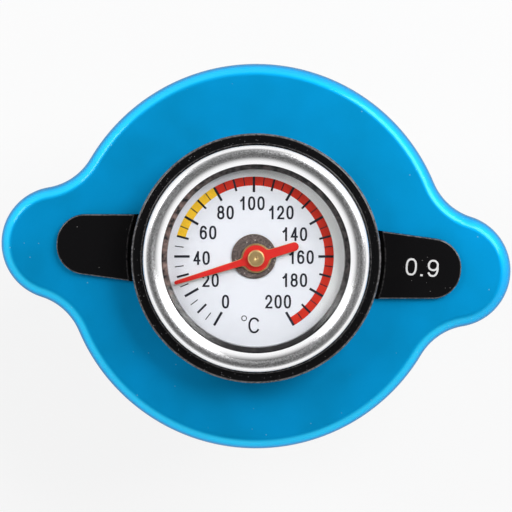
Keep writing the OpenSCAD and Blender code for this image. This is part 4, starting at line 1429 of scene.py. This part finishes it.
def build_shank(s, cover, valves):
    """The turned stem that holds the cap together, with a groove for the retaining ring."""
    low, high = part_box("shank")
    ring_low, ring_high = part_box("retaining_ring")
    floor = foot("gauge_case")
    bore = outer("probe_tube") + cover.fit
    thread_end = top("spring_cup") - valves.cup_sheet - s.loose
    fine = cover.fit / 2
    corners = [
        (bore, low.z, 0.1 * MM),
        (s.guide, low.z, 0.4 * MM),
        (s.guide, ring_low.z - fine),
        (s.guide - s.groove, ring_low.z - fine),
        (s.guide - s.groove, ring_high.z + fine),
        (s.guide, ring_high.z + fine),
        (s.guide, thread_end),
        (s.thread, thread_end, 0.2 * MM),
        (s.thread, floor - s.flange),
        (high.x, floor - s.flange, 0.1 * MM),
        (high.x, floor, 0.1 * MM),
        (s.neck, floor),
        (s.neck, high.z - s.rim_height),
        (s.rim, high.z - s.rim_height),
        (s.rim, high.z, 0.2 * MM),
        (bore, high.z),
    ]
    dress(lathe("shank_stem", corners), "shank")


def build_nut(s, cover):
    """The lock nut, whose corners are turned off by a cone, and the washer over it."""
    low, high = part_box("lock_nut")
    half = s.nut / 2
    chamfer = 0.7 * MM
    hole = s.thread + cover.fit
    turns = full_turn(144)
    levels = [(low.z + grown, grown) for grown in even(0, chamfer, 3)]
    levels += [(high.z - grown, grown) for grown in even(chamfer, 0, 3)]

    def hexagon(z, grown):
        """The nut's outline at a height, where the cone has grown from just inside the flats."""
        ring = []
        for a in turns:
            flat = half / math.cos((a + math.pi / 2) % (math.pi / 3) - math.pi / 6)
            radius = min(flat, half * 0.98 + grown * math.sqrt(3))
            ring.append((radius * math.cos(a), radius * math.sin(a), z))
        return ring

    def bore_ring(z):
        return [(hole * math.cos(a), hole * math.sin(a), z) for a in turns]

    rings = [bore_ring(low.z), *(hexagon(z, grown) for z, grown in levels), bore_ring(high.z)]
    dress(loft("lock_nut_hex", rings, True, True), "lock_nut")

    low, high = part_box("sealing_washer")
    dress(tube("washer_disc", high.x, hole, low.z, high.z, 0.12 * MM), "sealing_washer")


def build_snap_ring(s, cover):
    """An open ring in the shank's groove."""
    low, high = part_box("retaining_ring")
    wide = max(high.x, -low.x)
    bore = s.guide - s.groove + cover.fit
    profile = rounded(ring_corners(wide, bore, low.z, high.z, 0.1 * MM))
    gap = math.asin(s.opening / (wide + bore))
    dress(sweep("snap_ring", profile, even(gap, 2 * math.pi - gap, 90)), "retaining_ring")


def build_probe(s, cover, valves):
    """A closed tube, with the bimetal helix and the spindle's lower bearing in it."""
    low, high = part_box("probe_tube")
    bore = high.x - s.probe_wall
    dress(tube("probe_sleeve", high.x, bore, low.z, high.z, 0.05 * MM), "probe_tube")

    low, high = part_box("probe_plug")
    tube_end = foot("probe_tube")
    corners = [
        (0, low.z),
        (high.x, low.z, s.probe_round),
        (high.x, tube_end, 0.05 * MM),
        (bore - cover.fit, tube_end),
        (bore - cover.fit, high.z, 0.2 * MM),
        (0, high.z),
    ]
    dress(lathe("probe_end", corners, steps=10), "probe_plug")

    low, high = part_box("spindle_guide")
    bush = tube("guide_bush", high.x, outer("spindle") + cover.fit, low.z, high.z, 0.1 * MM)
    dress(bush, "spindle_guide")

    helix = ("bimetal_coil", "bimetal_helix", valves.strip, valves.strip_turns, valves.end_gap, 10)
    dress(wound_wire(*helix), "bimetal_helix")


# Spring stack and valves

def build_stack(s, shell):
    """The dished spring disc, the gasket under it, the spring cup and the main spring."""
    low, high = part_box("spring_disc")
    hole = shell.thread + shell.loose
    cup = outer("spring_cup")
    middle = high.z - s.disc_sheet
    rim_from = cup + s.dish_width
    bend = 0.25 * MM
    corners = [
        (hole, middle, 0.08 * MM),
        (cup, middle, bend),
        (rim_from, low.z, bend),
        (high.x, low.z, 0.2 * MM),
        (high.x, low.z + s.disc_sheet, 0.2 * MM),
        (rim_from, low.z + s.disc_sheet, bend),
        (cup, high.z, bend),
        (hole, high.z, 0.08 * MM),
    ]
    dress(lathe("disc_spring", corners), "spring_disc")

    low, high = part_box("upper_gasket")
    dress(tube("neck_gasket", high.x, s.gasket_bore, low.z, high.z, 0.35 * MM), "upper_gasket")

    low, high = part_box("spring_cup")
    inside = high.x - s.cup_sheet
    ceiling = high.z - s.cup_sheet
    corners = [
        (hole, ceiling, 0.1 * MM),
        (inside, ceiling, 0.6 * MM),
        (inside, low.z, 0.2 * MM),
        (high.x, low.z, 0.2 * MM),
        (high.x, high.z, 1.2 * MM),
        (hole, high.z, 0.1 * MM),
    ]
    dress(lathe("spring_seat", corners), "spring_cup")

    spring = wound_wire("main_coil", "main_spring", s.wire, s.wire_turns, s.end_gap, 20)
    dress(spring, "main_spring")
    keep = 1 - joint_travel("pressure_lift") / (ceiling - plate_face(s))
    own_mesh(spring)


def joint_travel(name):
    """How far a joint slides from rest."""
    joint = next(row for row in frame["joints"] if row["name"] == name)
    return max(abs(end) for end in joint["range_m"])


def plate_face(s):
    """Height of the valve plate's upper face, which both valves' springs stand on."""
    return top("pressure_seal") - s.seal_lip


def build_pressure_valve(s, shell, cover):
    """A plate with a hub on the shank, passages round the vacuum valve, a rubber seal and an O-ring."""
    low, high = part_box("valve_plate")
    ring_low, ring_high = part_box("stem_oring")
    plate_top = plate_face(s)
    plate_foot = plate_top - s.plate
    plate_rim = outer("pressure_seal") - s.seal_lip
    bore = shell.guide + cover.fit
    groove = ring_high.x + cover.fit
    groove_top = ring_high.z + cover.fit
    edge = 0.15 * MM
    corners = [
        (bore, groove_top),
        (groove, groove_top),
        (groove, low.z, edge),
        (s.hub, low.z, edge),
        (s.hub, plate_foot, 0.3 * MM),
        (plate_rim, plate_foot, edge),
        (plate_rim, plate_top, edge),
        (s.hub, plate_top, 0.4 * MM),
        (s.hub, high.z, 0.3 * MM),
        (bore, high.z, edge),
    ]
    piece = lathe("valve_disc", corners)
    stem_hole = s.poppet_stem + cover.fit
    inside_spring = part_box("vacuum_spring")[1].y - 2 * s.small_wire
    around = (stem_hole + inside_spring) / 2
    floor, ceiling = plate_foot - PAST, plate_top + PAST
    holes = [rod("stem_hole", stem_hole, floor, ceiling, (s.poppet_at, 0))]
    for spot in arc((s.poppet_at, 0), around, 0, 2 * math.pi, s.passages)[1:]:
        holes.append(rod("passage", s.passage, floor, ceiling, spot, 20))
    cut(piece, holes)
    dress(piece, "valve_plate")

    low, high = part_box("pressure_seal")
    lip = high.x - 2 * s.seal_lip
    corners = [
        (s.seal_bore, low.z, 0.3 * MM),
        (high.x, low.z, 0.4 * MM),
        (high.x, high.z, 0.3 * MM),
        (lip, high.z, 0.2 * MM),
        (lip, plate_top),
        (plate_rim, plate_top),
        (plate_rim, plate_foot),
        (s.seal_bore, plate_foot),
    ]
    dress(lathe("valve_seal", corners), "pressure_seal")

    section = (ring_high.z - ring_low.z) / 2
    profile = arc((ring_high.x - section, ring_low.z + section), section, 0, 2 * math.pi, 24)[:-1]
    dress(sweep("stem_seal", profile, full_turn(96), round_trip=True), "stem_oring")


def build_vacuum_valve(s, cover):
    """A poppet that hangs on a light spring in the plate, with its seal and its washer."""
    at = (s.poppet_at, 0.0)
    low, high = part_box("vacuum_poppet")
    head = (high.y - low.y) / 2
    corners = [
        (0, low.z),
        (head, low.z, 0.2 * MM),
        (head, low.z + s.poppet_head, 0.08 * MM),
        (s.poppet_stem, low.z + s.poppet_head),
        (s.poppet_stem, high.z, 0.2 * MM),
        (0, high.z),
    ]
    dress(lathe("poppet_pin", corners, at), "vacuum_poppet")
    for name, node, gap in (
        ("poppet_seal", "vacuum_seal", cover.fit),
        ("poppet_washer", "spring_keeper", cover.fit / 2),
    ):
        low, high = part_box(node)
        piece = tube(name, (high.y - low.y) / 2, s.poppet_stem + gap, low.z, high.z, 0.12 * MM, at)
        dress(piece, node)

    spring = wound_wire("poppet_coil", "vacuum_spring", s.small_wire, s.small_turns, s.end_gap, 12)
    dress(spring, "vacuum_spring")
    stand = plate_face(s)
    keep = 1 - joint_travel("vacuum_drop") / (foot("spring_keeper") - stand)
    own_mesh(spring)


# Stage

def heading(turn, elevation):
    """A direction by its angle in the picture's plane and its elevation, with the dial level."""
    flat = math.cos(elevation)
    return Vector((flat * math.cos(turn), flat * math.sin(turn), math.sin(elevation)))


def build_floor(s):
    """A matt floor under the lowest solid, which the camera sees nearly white."""
    half = s.floor_size / 2
    low = CAD_BOX[0].z
    mesh = bpy.data.meshes.new("floor")
    corners = [(-half, -half, low), (half, -half, low), (half, half, low), (-half, half, low)]
    mesh.from_pydata(corners, [], [(0, 1, 2, 3)])
    floor = new_object("floor", mesh)
    material = bpy.data.materials.new("floor_white")
    material.use_nodes = True
    tree = material.node_tree
    tree.nodes.clear()
    rays = add(tree, "ShaderNodeLightPath").outputs
    shown = maths(tree, "MAXIMUM", rays["Is Glossy Ray"], rays["Is Transmission Ray"])
    mirrored = maths(tree, "MULTIPLY", shown, s.floor_mirrored)
    seen = maths(tree, "MULTIPLY", rays["Is Camera Ray"], s.floor_seen)
    share = maths(tree, "MAXIMUM", seen, mirrored)
    matt = add(tree, "ShaderNodeBsdfDiffuse", {"Color": (0.9, 0.9, 0.9, 1.0)})
    white = add(tree, "ShaderNodeEmission", {"Color": (1.0, 1.0, 1.0, 1.0), "Strength": 1.0})
    both = add(tree, "ShaderNodeMixShader", (share, matt.outputs[0], white.outputs[0]))
    add(tree, "ShaderNodeOutputMaterial", (both.outputs[0],))
    mesh.materials.append(material)
    floor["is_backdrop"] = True


def build_sky(s):
    """Even light from all sides with a dark patch overhead, as a camera and its ceiling leave one."""
    world = bpy.data.worlds.new("studio")
    world.use_nodes = True
    tree = world.node_tree
    tree.nodes.clear()
    ray = add(tree, "ShaderNodeTexCoord").outputs["Generated"]
    height = add(tree, "ShaderNodeSeparateXYZ", (ray,)).outputs["Z"]
    away = maths(tree, "ARCCOSINE", height)
    light = spread(tree, away, s.cap_inner, s.cap_outer, s.sky_cap, s.sky_side, "SMOOTHSTEP")
    glow = add(tree, "ShaderNodeBackground", {"Color": (1.0, 1.0, 1.0, 1.0), "Strength": light})
    add(tree, "ShaderNodeOutputWorld", (glow.outputs[0],))
    bpy.context.scene.world = world


def build_lamps(s, dial_turn):
    """Two softboxes that face the cover's middle."""
    middle = Vector((0, 0, top("cover")))
    for name, turn, width in (
        ("main_softbox", s.main_lamp, s.main_width),
        ("fill_softbox", s.fill_lamp, s.fill_width),
    ):
        data = bpy.data.lights.new(name, "AREA")
        data.shape = "SQUARE"
        data.size = width
        data.energy = s.lamp_brightness * math.pi * width ** 2
        lamp = new_object(name, data)
        way = heading(turn + dial_turn, s.lamp_elevation)
        lamp.location = middle + way * s.lamp_distance
        lamp.rotation_euler = way.to_track_quat("Z", "Y").to_euler()
        lamp.visible_camera = False


def build_camera(s, cover, dial_turn):
    """A camera over the cap, with the dial level in its picture."""
    right = heading(dial_turn, 0.0)
    up = heading(dial_turn + math.pi / 2, 0.0)
    rim = top("cover") - cover.edge_drop
    aim = right * s.aim_right + up * s.aim_up + Vector((0, 0, rim))
    back = up * math.sin(s.tilt) + Vector((0, 0, math.cos(s.tilt)))
    data = bpy.data.cameras.new("camera")
    data.sensor_width = 36.0
    data.lens = data.sensor_width * s.distance / s.view_width
    data.clip_start = 0.01
    data.clip_end = 2 * s.floor_size
    camera = new_object("camera", data)
    place = Matrix((right, back.cross(right), back)).transposed().to_4x4()
    place.translation = aim + back * s.distance
    camera.matrix_world = place
    bpy.context.scene.camera = camera


# Operators

class PieceOperator(bpy.types.Operator):
    """Common ground of the operators"""

    bl_options = {"REGISTER", "UNDO"}

    def execute(self, context):
        self.build(context.scene)
        return {"FINISHED"}


class RADCAP_OT_stage(PieceOperator):
    """Set up the floor, the studio light and the camera"""

    bl_idname = "radcap.stage"
    bl_label = "Stage"

    def build(self, scene):
        scene.view_settings.view_transform = "Standard"
        turn = scene.radcap_dial.turn
        build_floor(scene.radcap_stage)
        build_sky(scene.radcap_stage)
        build_lamps(scene.radcap_stage, turn)
        build_camera(scene.radcap_stage, scene.radcap_cover, turn)


class RADCAP_OT_cover(PieceOperator):
    """Build the lobed cover"""

    bl_idname = "radcap.cover"
    bl_label = "Cover"

    def build(self, scene):
        build_cover(scene.radcap_cover, scene.radcap_gauge, scene.radcap_shell)


class RADCAP_OT_pads(PieceOperator):
    """Build the two ear pads and the rating on the right one"""

    bl_idname = "radcap.pads"
    bl_label = "Ear Pads"

    def build(self, scene):
        build_pads(scene.radcap_cover)


class RADCAP_OT_housing(PieceOperator):
    """Build the collar, the bezel, the case, the lens and its seat"""

    bl_idname = "radcap.housing"
    bl_label = "Collar and Housing"

    def build(self, scene):
        build_collar(scene.radcap_gauge, scene.radcap_cover, scene.radcap_shell)
        build_bezel(scene.radcap_gauge)
        build_case(scene.radcap_gauge, scene.radcap_cover, scene.radcap_shell)
        build_window(scene.radcap_gauge)


class RADCAP_OT_dial(PieceOperator):
    """Build the dial with its print, and the bush"""

    bl_idname = "radcap.dial"
    bl_label = "Dial"

    def build(self, scene):
        build_dial(scene.radcap_dial, scene.radcap_cover)


class RADCAP_OT_pointer(PieceOperator):
    """Build the pointer, its boss and the spindle"""

    bl_idname = "radcap.pointer"
    bl_label = "Pointer"

    def build(self, scene):
        build_pointer(scene.radcap_dial, scene.radcap_shell)
        build_spindle(scene.radcap_shell)


class RADCAP_OT_shell(PieceOperator):
    """Build the bayonet shell and the drive pins"""

    bl_idname = "radcap.shell"
    bl_label = "Shell"

    def build(self, scene):
        build_shell(scene.radcap_shell, scene.radcap_cover)


class RADCAP_OT_shank(PieceOperator):
    """Build the shank with its nut, washer and retaining ring"""

    bl_idname = "radcap.shank"
    bl_label = "Shank"

    def build(self, scene):
        build_shank(scene.radcap_shell, scene.radcap_cover, scene.radcap_valves)
        build_nut(scene.radcap_shell, scene.radcap_cover)
        build_snap_ring(scene.radcap_shell, scene.radcap_cover)


class RADCAP_OT_probe(PieceOperator):
    """Build the probe and the bimetal coil in it"""

    bl_idname = "radcap.probe"
    bl_label = "Probe"

    def build(self, scene):
        build_probe(scene.radcap_shell, scene.radcap_cover, scene.radcap_valves)


class RADCAP_OT_stack(PieceOperator):
    """Build the spring disc, the neck gasket, the spring cup and the main spring"""

    bl_idname = "radcap.stack"
    bl_label = "Spring Stack"

    def build(self, scene):
        build_stack(scene.radcap_valves, scene.radcap_shell)


class RADCAP_OT_valves(PieceOperator):
    """Build the pressure valve and the vacuum valve"""

    bl_idname = "radcap.valves"
    bl_label = "Valves"

    def build(self, scene):
        build_pressure_valve(scene.radcap_valves, scene.radcap_shell, scene.radcap_cover)
        build_vacuum_valve(scene.radcap_valves, scene.radcap_cover)


OPERATORS = (
    RADCAP_OT_stage,
    RADCAP_OT_cover,
    RADCAP_OT_pads,
    RADCAP_OT_housing,
    RADCAP_OT_dial,
    RADCAP_OT_pointer,
    RADCAP_OT_shell,
    RADCAP_OT_shank,
    RADCAP_OT_probe,
    RADCAP_OT_stack,
    RADCAP_OT_valves,
)
GROUPS = {
    "radcap_cover": CoverSizes,
    "radcap_gauge": GaugeSizes,
    "radcap_dial": DialLayout,
    "radcap_shell": ShellSizes,
    "radcap_valves": ValveSizes,
    "radcap_finishes": Finishes,
    "radcap_stage": StageSettings,
}


class RADCAP_PT_panel(bpy.types.Panel):
    """Sizes, colours and the operators in their order"""

    bl_idname = "RADCAP_PT_panel"
    bl_label = "Radiator Cap"
    bl_space_type = "VIEW_3D"
    bl_region_type = "UI"
    bl_category = "Radiator Cap"

    def draw(self, context):
        for operator in OPERATORS:
            self.layout.operator(operator.bl_idname)
        for name, group in GROUPS.items():
            box = self.layout.box()
            box.label(text=group.__doc__)
            for key in group.__annotations__:
                box.prop(getattr(context.scene, name), key)


def register():
    """Makes the add-on's classes and its settings known to Blender."""
    for cls in (*GROUPS.values(), *OPERATORS, RADCAP_PT_panel):
        bpy.utils.register_class(cls)
    for name, group in GROUPS.items():
        setattr(bpy.types.Scene, name, bpy.props.PointerProperty(type=group))


def unregister():
    """Takes back what register does, in the opposite order."""
    for name in GROUPS:
        delattr(bpy.types.Scene, name)
    for cls in (RADCAP_PT_panel, *reversed(OPERATORS), *reversed(GROUPS.values())):
        bpy.utils.unregister_class(cls)


def main():
    """Builds the stage and every piece, and works out the sizes of the solids and of the dressed part."""
    register()
    for operator in OPERATORS:
        getattr(bpy.ops.radcap, operator.bl_idname.split(".")[1])()
    boxes = {"cad": CAD_BOX, "visual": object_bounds()}
    {key: [list(corner) for corner in box] for key, box in boxes.items()}


if __name__ == "__main__":
    main()
